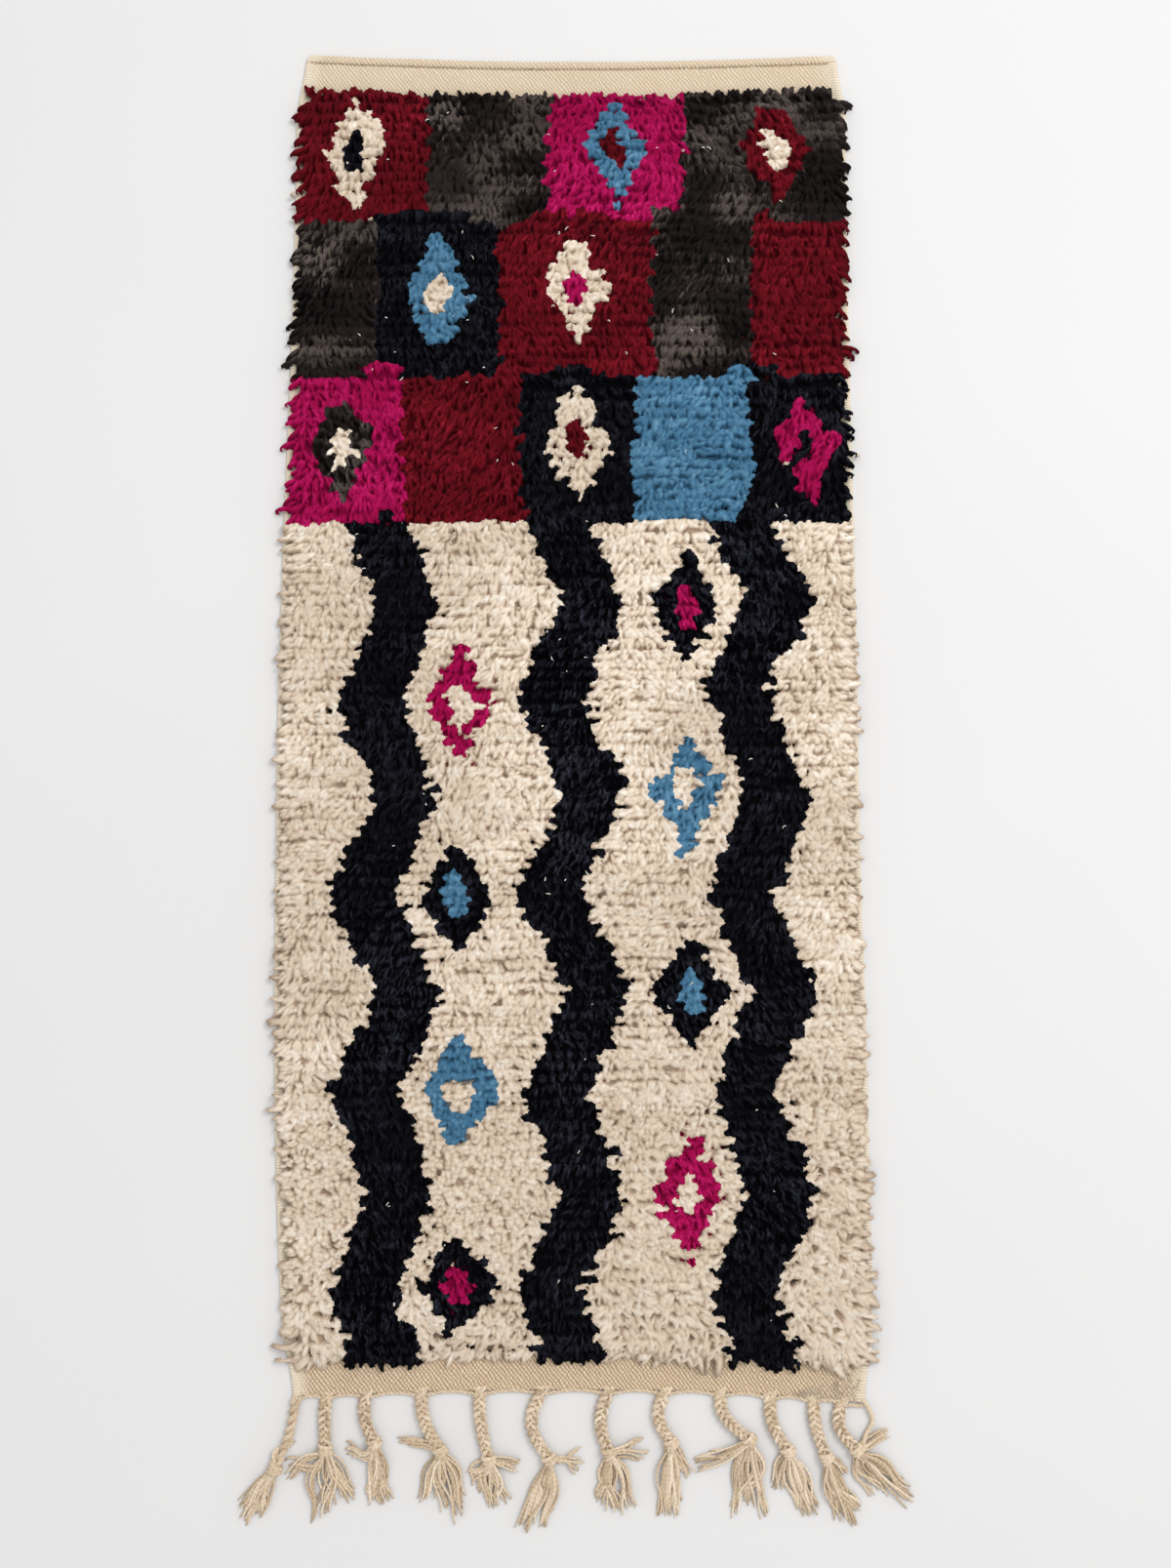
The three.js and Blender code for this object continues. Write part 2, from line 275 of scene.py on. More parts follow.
@dataclass(frozen=True)
class Outline:
    """The ground cloth's edges as they lie on the floor."""

    length: float = 1752.0
    left: tuple[float, ...] = (361, 372, 379, 380, 380, 376, 370, 366, 366)
    right: tuple[float, ...] = (386, 384, 382, 377, 376, 374, 371, 369, 370)
    hem_rise: tuple[float, ...] = (-6, 0, 2, -1, -14)
    draw_in: float = 12.0
    draw_length: float = 95.0
    heading_sag: float = 10.0
    end_fade: float = 150.0
    hem_band: float = 40.0
    heading_band: float = 48.0
    selvedge: float = 11.0

    def half_width(self, side: int, up: np.ndarray | float) -> np.ndarray:
        """How far an edge lies from the centre line.

        Args:
            side: -1 for the left edge and 1 for the right one.
            up: Heights up the rug.

        Returns:
            Distances, drawn in at the bare ends.
        """
        up = np.asarray(up, float)
        from_end = np.minimum(up, self.length - up)
        drawn = self.draw_in * (1 - ease(from_end, 0, self.draw_length))
        return through(self.left if side < 0 else self.right, up / self.length) - drawn

    def bent(self, x: np.ndarray | float, up: np.ndarray | float) -> np.ndarray:
        """The true y of points up the rug, whose end edges aren't straight.

        Args:
            x: Places across.
            up: Heights up the rug.

        Returns:
            Their y on the drawing.
        """
        up = np.asarray(up, float)
        share = np.clip((np.asarray(x, float) + self.left[0]) / (self.left[0] + self.right[0]), 0, 1)
        hem = (1 - ease(up, 0, self.end_fade)) * through(self.hem_rise, share)
        sag = (1 - ease(self.length - up, 0, self.end_fade)) * self.heading_sag * np.sin(math.pi * share)
        return up + hem - sag


@dataclass(frozen=True)
class WoolFinish:
    """Hand-spun wool, cut: matt and soft, painted darker down in its creases as shade, with fibres that run
    along each end.
    """

    name: str
    dark: str
    mid: str
    light: str
    other_lot: str
    grain: float = 0.9
    sheen: float = 0.25
    specular: float = 0.12
    fibres_round: float = 15.0  # real fibres are far finer: drawn as coarse as shows
    fibre_mm: float = 7.0
    crease_shade_gain: float = 0.4
    mean_crease_shade: float = 0.29
    noise_apart: float = 90.0

    def material(self) -> bpy.types.Material:
        """Builds the wool from each end's own tint, dye lot and height, its height painting shade into the
        creases.

        Returns:
            The material.
        """
        made = Shading(f"{self.name}_cut_wool")
        tint = made.value("tint")
        follow = made.node("UVMap", {}, uv_map="Yarn")
        apart = made.node("CombineXYZ", {"Z": made.math("MULTIPLY", tint, self.noise_apart)})
        scale = (self.fibres_round, 1 / self.fibre_mm, 0.0)
        drawn = made.node("VectorMath", {0: follow, 1: scale, 2: apart}, operation="MULTIPLY_ADD")
        fibre = made.noise(drawn, 1.0, 2.0, Roughness=0.6)
        grain = made.math("MULTIPLY_ADD", fibre, self.grain, tint)
        # Painted shade: the lower the wool lies below its end's top, the darker it is coloured; the tops are
        # palest.
        tone = made.math("MULTIPLY_ADD", made.value("along"), self.crease_shade_gain, grain)
        shade = made.math("SUBTRACT", tone, 0.5 * self.grain + self.mean_crease_shade)
        own = made.ramp(shade, self.dark, self.mid, self.light)
        dyed = made.mix(made.value("lot"), own, linear(self.other_lot))
        surface = {
            "Roughness": 0.93,
            "IOR": 1.54,
            "Specular IOR Level": self.specular,
            "Sheen Weight": self.sheen,
            "Sheen Roughness": 0.6,
            "Sheen Tint": linear(self.light),
        }
        return made.finish(dyed, surface, {"Strength": 0.7, "Distance": 1.0 * MM, "Height": fibre})


@dataclass(frozen=True)
class KnotFinish:
    """Close-packed knots of many wools: dull and shadowed, seen only between the cut ends."""

    knot_mm: float = 6.0
    shadow: tuple[float, ...] = (0.66, 0.62, 0.58, 1)

    def material(self) -> bpy.types.Material:
        """Builds the knots from the colour that each carries.

        Returns:
            The material.
        """
        made = Shading("packed_wool_knots")
        wool = made.node("Attribute", {}, "Color", attribute_name="wool")
        lumps = made.noise(made.node("TexCoord", {}, "Object"), self.knot_mm * MM, 3.0)
        # Painted shadow: the knots' colours are darkened in patches, as shade down between the ends.
        shadowed_knots = made.mix(lumps, wool, self.shadow, "MULTIPLY")
        relief = {"Strength": 0.7, "Distance": 1.5 * MM, "Height": lumps}
        return made.finish(shadowed_knots, {"Roughness": 0.95, "Specular IOR Level": 0.1}, relief)


@dataclass(frozen=True)
class YarnFinish:
    """Plied undyed yarn: matt, with a fine slanting twist, darkened in its grooves as painted shade."""

    name: str
    dark: str
    mid: str
    light: str
    ply_mm: float = 3.0  # real plies are finer: drawn as coarse as shows
    twist: float = 0.12
    wave_scale: float = 0.3183  # two plies to a wave
    blotch: float = 0.24
    blotch_mm: float = 5.0

    def material(self) -> bpy.types.Material:
        """Builds the yarn, whose twist follows its own UV map in millimetres.

        Returns:
            The material.
        """
        made = Shading(f"{self.name}_plied_yarn")
        follow = made.node("UVMap", {}, uv_map="Yarn")
        slant = made.node("Mapping", {"Vector": follow, "Scale": (2.0, 1 / self.ply_mm, 1.0)})
        wave = {"Vector": slant, "Scale": self.wave_scale, "Distortion": 0.6, "Detail": 1.0}
        ply = made.node("TexWave", wave, "Fac", bands_direction="DIAGONAL")
        blotch = made.noise(made.node("TexCoord", {}, "Object"), self.blotch_mm * MM, 3.0)
        grain = made.math("MULTIPLY_ADD", blotch, self.blotch, made.value("tint"))
        # Painted shade: the yarn's tone drops in the grooves of its twist.
        tone = made.math("MULTIPLY_ADD", ply, self.twist, grain)
        shade = made.math("SUBTRACT", tone, 0.5 * self.twist + 0.5 * self.blotch)
        surface = {
            "Roughness": 0.88,
            "IOR": 1.53,
            "Specular IOR Level": 0.25,
            "Sheen Weight": 0.15,
            "Sheen Roughness": 0.6,
        }
        relief = {"Strength": 0.6, "Distance": 0.5 * MM, "Height": ply}
        return made.finish(made.ramp(shade, self.dark, self.mid, self.light), surface, relief)


@dataclass(frozen=True)
class WeaveFinish:
    """Flat-woven undyed yarn: small rounded floats on the slant, with painted shade where they dip."""

    hem: tuple[str, str] = ("987f61", "ebd6bc")
    heading: tuple[str, str] = ("bfab8f", "e9d9c2")
    selvedge: tuple[str, str] = ("dccdb5", "efe4d2")
    soil: tuple[float, ...] = (0.86, 0.84, 0.8, 1)
    float_mm: float = 5.4  # the real floats are a fifth smaller: drawn as coarse as shows
    row_mm: float = 4.2
    rib_mm: float = 3.6
    wander_mm: float = 5.5
    wander_size_mm: float = 9.0
    soil_size_mm: float = 45.0

    def material(self) -> bpy.types.Material:
        """Builds the weave on the cloth's own UV map, with plain ribs along the selvedges.

        Returns:
            The material.
        """
        made = Shading("flat_woven_ground")
        follow = made.node("UVMap", {}, uv_map="Weave")
        fine = made.noise(follow, self.wander_size_mm * MM, 2.0, "Color")
        shift = (self.wander_mm * MM, self.wander_mm * MM, 0)
        wander = made.node("VectorMath", {0: fine, 1: shift, 2: follow}, operation="MULTIPLY_ADD")
        waves = []
        for lean in (1, -1):
            slant = math.atan2(self.float_mm, lean * self.row_mm)
            pitch = self.float_mm * math.sin(slant) * MM
            turned = made.node("Mapping", {"Vector": wander, "Rotation": (0, 0, slant - math.pi / 2)})
            wave = {"Vector": turned, "Scale": math.pi / (10 * pitch), "Detail": 0.0}
            waves.append(made.node("TexWave", wave, "Fac", bands_direction="X"))
        floats = made.math("MULTIPLY", waves[0], made.math("MULTIPLY_ADD", waves[1], 0.7, 0.3))
        raised = made.math("POWER", floats, 0.5)
        rib = {"Vector": follow, "Scale": math.pi / (10 * self.rib_mm * MM), "Distortion": 3.0}
        ribs = made.node("TexWave", rib, "Fac", bands_direction="Y")
        # Painted shade: each band runs from its dark tone where the floats and ribs dip to its light tone
        # where they rise.
        hem, heading, selvedge = (
            made.mix(height, linear(low), linear(high))
            for (low, high), height in ((self.hem, raised), (self.heading, raised), (self.selvedge, ribs))
        )
        edge = made.value("selvedge")
        whole = made.mix(edge, made.mix(made.value("up"), hem, heading), selvedge)
        soiled = made.mix(made.noise(follow, self.soil_size_mm * MM, 2.0), whole, self.soil, "MULTIPLY")
        height = made.node("Mix", {0: edge, 2: raised, 3: ribs})
        surface = {"Roughness": 0.9, "IOR": 1.53, "Specular IOR Level": 0.2, "Sheen Weight": 0.12}
        return made.finish(soiled, surface, {"Strength": 0.7, "Distance": 1.1 * MM, "Height": height})


def joined_mesh(
    name: str,
    points: np.ndarray,
    corners: np.ndarray,
    starts: np.ndarray,
    maps: dict[str, np.ndarray],
    values: dict[str, np.ndarray],
    material: bpy.types.Material,
) -> bpy.types.Object:
    """Makes one smooth mesh piece from arrays.

    Args:
        name: The piece's name.
        points: Points on the drawing, in millimetres.
        corners: Every face's points, one face after another.
        starts: Where each face starts among the corners.
        maps: UV maps by name, by corner.
        values: Attributes by name, by point.
        material: The piece's finish.

    Returns:
        The new piece.
    """
    mesh = bpy.data.meshes.new(name)
    mesh.vertices.add(len(points))
    mesh.vertices.foreach_set("co", ((points + DRAWING_SHIFT) * MM).astype(np.float32).ravel())
    mesh.loops.add(len(corners))
    mesh.loops.foreach_set("vertex_index", corners.astype(np.int32))
    mesh.polygons.add(len(starts))
    mesh.polygons.foreach_set("loop_start", starts.astype(np.int32))
    mesh.update(calc_edges=True)
    for title, places in maps.items():
        mesh.uv_layers.new(name=title).uv.foreach_set("vector", places.astype(np.float32).ravel())
    for title, numbers in values.items():
        mesh.attributes.new(title, "FLOAT", "POINT").data.foreach_set("value", numbers.astype(np.float32))
    mesh.shade_smooth()
    mesh.materials.append(material)
    piece = bpy.data.objects.new(name, mesh)
    bpy.context.collection.objects.link(piece)
    return piece


def grid_piece(
    name: str,
    places: np.ndarray,
    values: dict[str, np.ndarray],
    thick: float,
    flat: np.ndarray | None = None,
) -> bpy.types.Object:
    """Models a smooth sheet from a grid, thickened downwards.

    Args:
        name: The piece's name.
        places: Points on the drawing by row, column and axis, in millimetres.
        values: Numbers or colours by name, by row and column.
        thick: The sheet's thickness.
        flat: Places on the UV map "Weave" by row and column, if it has one.

    Returns:
        The new piece.
    """
    rows, columns = places.shape[:2]
    bpy.ops.object.select_all(action="DESELECT")
    bpy.ops.mesh.primitive_grid_add(x_subdivisions=columns - 1, y_subdivisions=rows - 1, size=2)
    piece = bpy.context.object
    mesh = piece.data
    piece.name = mesh.name = name
    mesh.vertices.foreach_set("co", ((places + DRAWING_SHIFT) * MM).astype(np.float32).ravel())
    for title, numbers in values.items():
        kind, key = ("FLOAT", "value") if numbers.ndim == 2 else ("FLOAT_COLOR", "color")
        mesh.attributes.new(title, kind, "POINT").data.foreach_set(key, numbers.astype(np.float32).ravel())
    if flat is not None:
        order = np.zeros(len(mesh.loops), np.int32)
        mesh.loops.foreach_get("vertex_index", order)
        spread = flat.reshape(-1, 2)[order].astype(np.float32)
        mesh.uv_layers.new(name="Weave").uv.foreach_set("vector", spread.ravel())
    wall = piece.modifiers.new("thickness", "SOLIDIFY")
    wall.thickness, wall.offset = thick * MM, -1.0
    bpy.ops.object.modifier_apply(modifier=wall.name)
    bpy.ops.object.shade_smooth()
    return piece


def tubes(paths: np.ndarray, radii: np.ndarray, sides: int, level: np.ndarray = UPWARDS) -> np.ndarray:
    """Round rings along paths.

    Args:
        paths: Points by yarn, step and axis.
        radii: Radius by yarn and step.
        sides: Points to a ring.
        level: A direction that no path runs along.

    Returns:
        Points by yarn, ring, side and axis.
    """
    ahead = directions(np.gradient(paths, axis=1))
    across = directions(np.cross(ahead, np.broadcast_to(level, ahead.shape)))
    over = np.cross(across, ahead)
    angle = np.arange(sides) * 2 * math.pi / sides
    ring = across[:, :, None, :] * np.cos(angle)[:, None] + over[:, :, None, :] * np.sin(angle)[:, None]
    return paths[:, :, None, :] + radii[:, :, None, None] * ring


def yarn_piece(name: str, groups: list[Yarns], material: bpy.types.Material) -> bpy.types.Object:
    """Skins groups of yarns as one joined mesh, each yarn with its own cell on the map "OFBake".

    Args:
        name: The piece's name.
        groups: Rings by yarn, ring, side and axis, and one tone for each yarn, about 0.5.
        material: The finish.

    Returns:
        The new piece.
    """
    margin = 0.08
    points, faces, starts, tones, twist, bake = [], [], [], [], [], []
    cells = math.ceil(math.sqrt(sum(len(rings) for rings, _ in groups)))
    first, corner, yarn = 0, 0, 0
    for rings, tints in groups:
        count, steps, sides = rings.shape[:3]
        k, s = np.meshgrid(np.arange(steps - 1), np.arange(sides), indexing="ij")
        here, beside = k * sides + s, k * sides + (s + 1) % sides
        quads = np.stack([here, beside, beside + sides, here + sides], -1).reshape(-1, 4)
        caps = np.concatenate([np.arange(sides)[::-1], (steps - 1) * sides + np.arange(sides)])
        corners = np.concatenate([quads.ravel(), caps])
        faces.append((first + np.arange(count)[:, None] * steps * sides + corners).ravel())
        sizes = np.concatenate([np.full(len(quads), 4), [sides, sides]])
        offsets = np.concatenate([[0], np.cumsum(sizes)[:-1]])
        starts.append((corner + np.arange(count)[:, None] * len(corners) + offsets).ravel())
        step_mm = np.linalg.norm(np.diff(rings.mean(2), axis=1), axis=-1)
        run = np.concatenate([np.zeros((count, 1)), np.cumsum(step_mm, 1)], 1)
        share = run / np.maximum(run[:, -1:], 1e-6)
        round_share = np.stack([s, s + 1, s + 1, s], -1).reshape(-1) / sides
        round_all = np.concatenate([round_share, np.arange(2 * sides) % sides / sides])
        about = np.broadcast_to(round_all, (count, len(corners)))
        step_of = corners // sides
        twist.append(np.stack([about, run[:, step_of]], -1).reshape(-1, 2))
        number = yarn + np.arange(count)
        cell = np.stack([number % cells, number // cells], -1)[:, None, :]
        inside = np.stack([about, share[:, step_of]], -1)
        bake.append(((cell + margin + (1 - 2 * margin) * inside) / cells).reshape(-1, 2))
        points.append(rings.reshape(-1, 3))
        tones.append(np.repeat(tints, steps * sides))
        first += count * steps * sides
        corner += count * len(corners)
        yarn += count
    maps = {"Yarn": np.concatenate(twist), "OFBake": np.concatenate(bake)}
    skin = (np.concatenate(part) for part in (points, faces, starts))
    return joined_mesh(name, *skin, maps, {"tint": np.concatenate(tones)}, material)


@dataclass(frozen=True)
class Patch:
    """One motif of the pile's design, in millimetres on the drawing."""

    motif: Motif
    wool: Wool
    left: float
    right: float
    low: float
    high: float
    heart: Wool | None = None


def plain_design() -> tuple[Patch, ...]:
    """Lists a plain design: lozenges between zigzags, and tiers of blocks with lozenges.

    Returns:
        The patches, a later one over an earlier one.
    """
    ivory, black, charcoal, burgundy, magenta, blue = Wool
    patches = [Patch(Motif.ZIGZAG, black, left, left + 90, 0, 1120) for left in (-280, -40, 200)]
    between = (
        (magenta, -190, 798, 966, ivory),
        (black, -190, 546, 714, blue),
        (blue, -190, 294, 462, ivory),
        (black, -190, 56, 210, magenta),
        (black, 104, 924, 1092, magenta),
        (blue, 104, 672, 840, ivory),
        (black, 104, 420, 588, blue),
        (magenta, 104, 168, 336, ivory),
    )
    for wool, left, low, high, heart in between:
        patches.append(Patch(Motif.LOZENGE, wool, left, left + 96, low, high, heart))
    tiers = (
        (1526, 1720, (-400, -190, -30, 150, 400), (burgundy, charcoal, magenta, charcoal)),
        (1316, 1526, (-400, -255, -95, 110, 240, 400), (charcoal, black, burgundy, charcoal, burgundy)),
        (1120, 1316, (-400, -215, -60, 90, 235, 400), (magenta, burgundy, black, blue, black)),
    )
    for low, high, edges, wools in tiers:
        for wool, left, right in zip(wools, edges, edges[1:]):
            patches.append(Patch(Motif.BLOCK, wool, left, right, low, high))
    on_blocks = (
        (ivory, -330, 1540, black),
        (blue, 15, 1540, burgundy),
        (burgundy, 225, 1540, ivory),
        (blue, -220, 1344, ivory),
        (ivory, -38, 1344, magenta),
        (charcoal, -340, 1142, ivory),
        (ivory, -30, 1142, burgundy),
        (magenta, 265, 1142, black),
    )
    for wool, left, low, heart in on_blocks:
        patches.append(Patch(Motif.LOZENGE, wool, left, left + 90, low, low + 154, heart))
    return tuple(patches)


@dataclass(frozen=True)
class PileChart:
    """The pile's design as knots, stepped from row to row."""

    zigzag_wave: float = 252.0
    zigzag_reach: float = 27.0
    step: float = 14.0
    waver: float = 6.0
    heart_share: float = 0.43

    def wool_at(self, x: np.ndarray, y: np.ndarray) -> np.ndarray:
        """Reads the design.

        Args:
            x: Places across.
            y: Places up.

        Returns:
            Numbers in the order of Wool.
        """
        near_x = x + self.waver * lattice_noise(x / 400, y / 85, 3) + 4 * lattice_noise(x / 90, y / 15, 4)
        near_y = y + self.waver * lattice_noise(x / 80, y / 400, 5)
        stepped = (np.floor(near_y / self.step) + 0.5) * self.step
        found = np.full(x.shape, Wool.IVORY.number)
        for patch in plain_design():
            middle, half = (patch.left + patch.right) / 2, (patch.right - patch.left) / 2
            inside = (near_y > patch.low) & (near_y < patch.high)
            if patch.motif is Motif.ZIGZAG:
                turn = np.abs((stepped / self.zigzag_wave) % 1 * 2 - 1) * 2 - 1
                middle = middle + self.zigzag_reach * turn
            aside = np.abs(near_x - middle) / half
            if patch.motif is Motif.LOZENGE:
                centre, tall = (patch.low + patch.high) / 2, (patch.high - patch.low) / 2
                aside = aside + np.abs(stepped - centre) / tall
            found = np.where(inside & (aside < 1), patch.wool.number, found)
            if patch.heart:
                found = np.where(aside < self.heart_share, patch.heart.number, found)
        return found


WOOLS = {
    Wool.IVORY: WoolFinish("ivory", "83664f", "e0ceb8", "fffaf2", "b9a690", grain=0.6),
    # Black's pale bluish light tone, reached where its fibre streaks run high and on its tops, paints glints
    # on the fibres; its shader itself reflects almost nothing.
    Wool.BLACK: WoolFinish("black", "000001", "040408", "393a46", "0a0a0f", 1.4, 0.03, 0.04),
    Wool.CHARCOAL: WoolFinish("charcoal", "030202", "221c1c", "645a54", "2d2624", 1.3, 0.04, 0.06),
    Wool.BURGUNDY: WoolFinish("burgundy", "2e0007", "5b000f", "90182a", "500009", grain=1.5, sheen=0.02),
    Wool.MAGENTA: WoolFinish("magenta", "620029", "9e0048", "d02474", "92003f", grain=1.4, sheen=0.02),
    Wool.BLUE: WoolFinish("blue", "173f5a", "447190", "74a3c0", "3d6782", grain=0.45, sheen=0.1),
}


@dataclass(frozen=True)
class Nap:
    """How the cut ends of some wools stand: how close, how long, how straight and how plump."""

    wools: tuple[Wool, ...]
    curly: bool
    width: float
    reach: float
    combed_reach: float
    stray_deg: float
    fan_deg: float
    parted: float
    beside: float
    scatter: float
    ragged: float
    dome: float
    dive: float
    rim_fall: float
    border_pull: float
    stout: float
    size_spread: float
    most_lot: float


SLEEK = Nap(
    wools=(Wool.BLACK, Wool.CHARCOAL, Wool.BURGUNDY, Wool.MAGENTA),
    curly=False,
    width=5.6,
    reach=15.0,
    combed_reach=0.0,
    stray_deg=19.0,
    fan_deg=0.0,
    parted=0.6,
    beside=1.3,
    scatter=2.0,
    ragged=0.38,
    dome=6.5,
    dive=0.9,
    rim_fall=7.0,
    border_pull=0.4,
    stout=0.55,
    size_spread=0.16,
    most_lot=0.7,
)
CURLY = Nap(
    wools=(Wool.IVORY, Wool.BLUE),
    curly=True,
    width=8.0,
    reach=6.8,
    combed_reach=5.0,
    stray_deg=24.0,
    fan_deg=62.0,
    parted=2.4,
    beside=0.0,
    scatter=2.2,
    ragged=0.8,
    dome=5.4,
    dive=1.2,
    rim_fall=12.0,
    border_pull=0.85,
    stout=0.12,
    size_spread=0.22,
    most_lot=0.4,
)


@dataclass
class Pile:
    """The layout of the knots, row by row, and the close body of the pile under their cut ends."""

    outline: Outline
    row_pitch: float = 14.0
    end_gaps: tuple[float, float] = (9.0, 10.0)
    row_waver: float = 4.6
    bed_pitch: float = 10.0
    bed_height: float = 11.2
    bed_rim: float = 4.6
    bed_thick: float = 4.0
    root_shade: float = 0.55
    seed: int = 11

    def knots(self, pitch: float) -> dict[str, np.ndarray]:
        """Lays out the knots.

        Args:
            pitch: One knot to the next, along a row.

        Returns:
            Arrays by row and knot: row, x, up, wool, whether its colour starts there under another, and the
            distances to where its colour ends on both sides.
        """
        shape, rng = self.outline, np.random.default_rng(self.seed)
        low = shape.hem_band + self.end_gaps[0]
        high = shape.length - shape.heading_band - self.end_gaps[1]
        rows = int(round((high - low) / self.row_pitch)) + 1
        across = int(round(2 * (shape.left[4] - shape.selvedge) / pitch))
        line = np.linspace(low, high, rows)[:, None] + np.zeros((rows, across))
        left = -shape.half_width(-1, line) + shape.selvedge + 2
        right = shape.half_width(1, line) - shape.selvedge - 2
        row = np.arange(rows)[:, None] + np.zeros((rows, across), int)
        share = (np.arange(across) + 0.5 + 0.5 * (row % 2 - 0.5)) / across
        x = left + (right - left) * share + rng.uniform(-1.0, 1.0, line.shape)
        waver = self.row_waver * lattice_noise(x / 48, row / 2, 21)
        wool = PileChart().wool_at(x, line)
        tangled = 1.8 + 4.2 * ease(lattice_noise(x / 150, line / 150, 22), -0.15, 0.6)
        tidy = among(wool, CURLY.wools) * ease(line, 250, 500)
        loose = tangled * (1 - 0.7 * tidy) * rng.uniform(-1, 1, line.shape)
        up = np.clip(line + waver * (1 - 0.4 * tidy) + loose, low, high)
        run_left, run_right = np.zeros_like(x), np.zeros_like(x)
        for r in range(rows):
            turns = np.flatnonzero(np.diff(wool[r])) + 1
            for a, b in zip(np.r_[0, turns], np.r_[turns, across]):
                run_left[r, a:b] = x[r, a:b] - x[r, a] + 1
                run_right[r, a:b] = x[r, b - 1] - x[r, a:b] + 1
        starts = (np.roll(wool, -1, 0) != wool) & (row < rows - 1)
        runs = {"run_left": run_left, "run_right": run_right}
        return {"row": row, "x": x, "up": up, "wool": wool, "starts": starts, **runs}

    def bed_level(self, x: np.ndarray, up: np.ndarray) -> np.ndarray:
        """The height of the pile's close body, rounded down at its edges.

        Args:
            x: Places across.
            up: Heights up the rug.

        Returns:
            Heights above the floor.
        """
        shape = self.outline
        from_side = np.minimum(x + shape.half_width(-1, up), shape.half_width(1, up) - x) - shape.selvedge
        from_end = np.minimum(up - shape.hem_band, shape.length - shape.heading_band - up)
        rounded = ease(np.minimum(from_side, from_end), -2, 16)
        lumps = 1.2 * lattice_noise(x / 14, up / 14, 41)
        return self.bed_rim + (self.bed_height - self.bed_rim + lumps) * rounded

    def build(self) -> bpy.types.Object:
        """Models the close body of the pile in painted shade: each knot in a darkened tone of its own wool,
        a pale one in a darker neighbour's.

        Returns:
            The new piece.
        """
        knots = self.knots(self.bed_pitch)
        x, up = knots["x"], knots["up"]
        tones = [(linear(WOOLS[wool].dark), linear(WOOLS[wool].mid)) for wool in Wool]
        darks, mids = np.array(tones).swapaxes(0, 1)
        # Painted shade: the body shows only in the gaps between the ends, so each knot takes its wool
        # darkened towards the dark tone, and a pale knot the darkest tone of itself and its darker
        # neighbours.
        shades = self.root_shade * darks + (1 - self.root_shade) * mids
        own, pale = shades[knots["wool"]], among(knots["wool"], CURLY.wools)[..., None]
        seen = np.where(pale, shades.max(0), own)
        darkest = np.minimum(own, np.min([np.roll(seen, step, (0, 1)) for step in steps_about(1)], axis=0))
        places = np.stack([x, self.outline.bent(x, up), self.bed_level(x, up)], -1)
        bed = grid_piece("pile_bed", places, {"wool": np.where(pale, darkest, own)}, self.bed_thick)
        bed.data.materials.append(KnotFinish().material())
        return bed


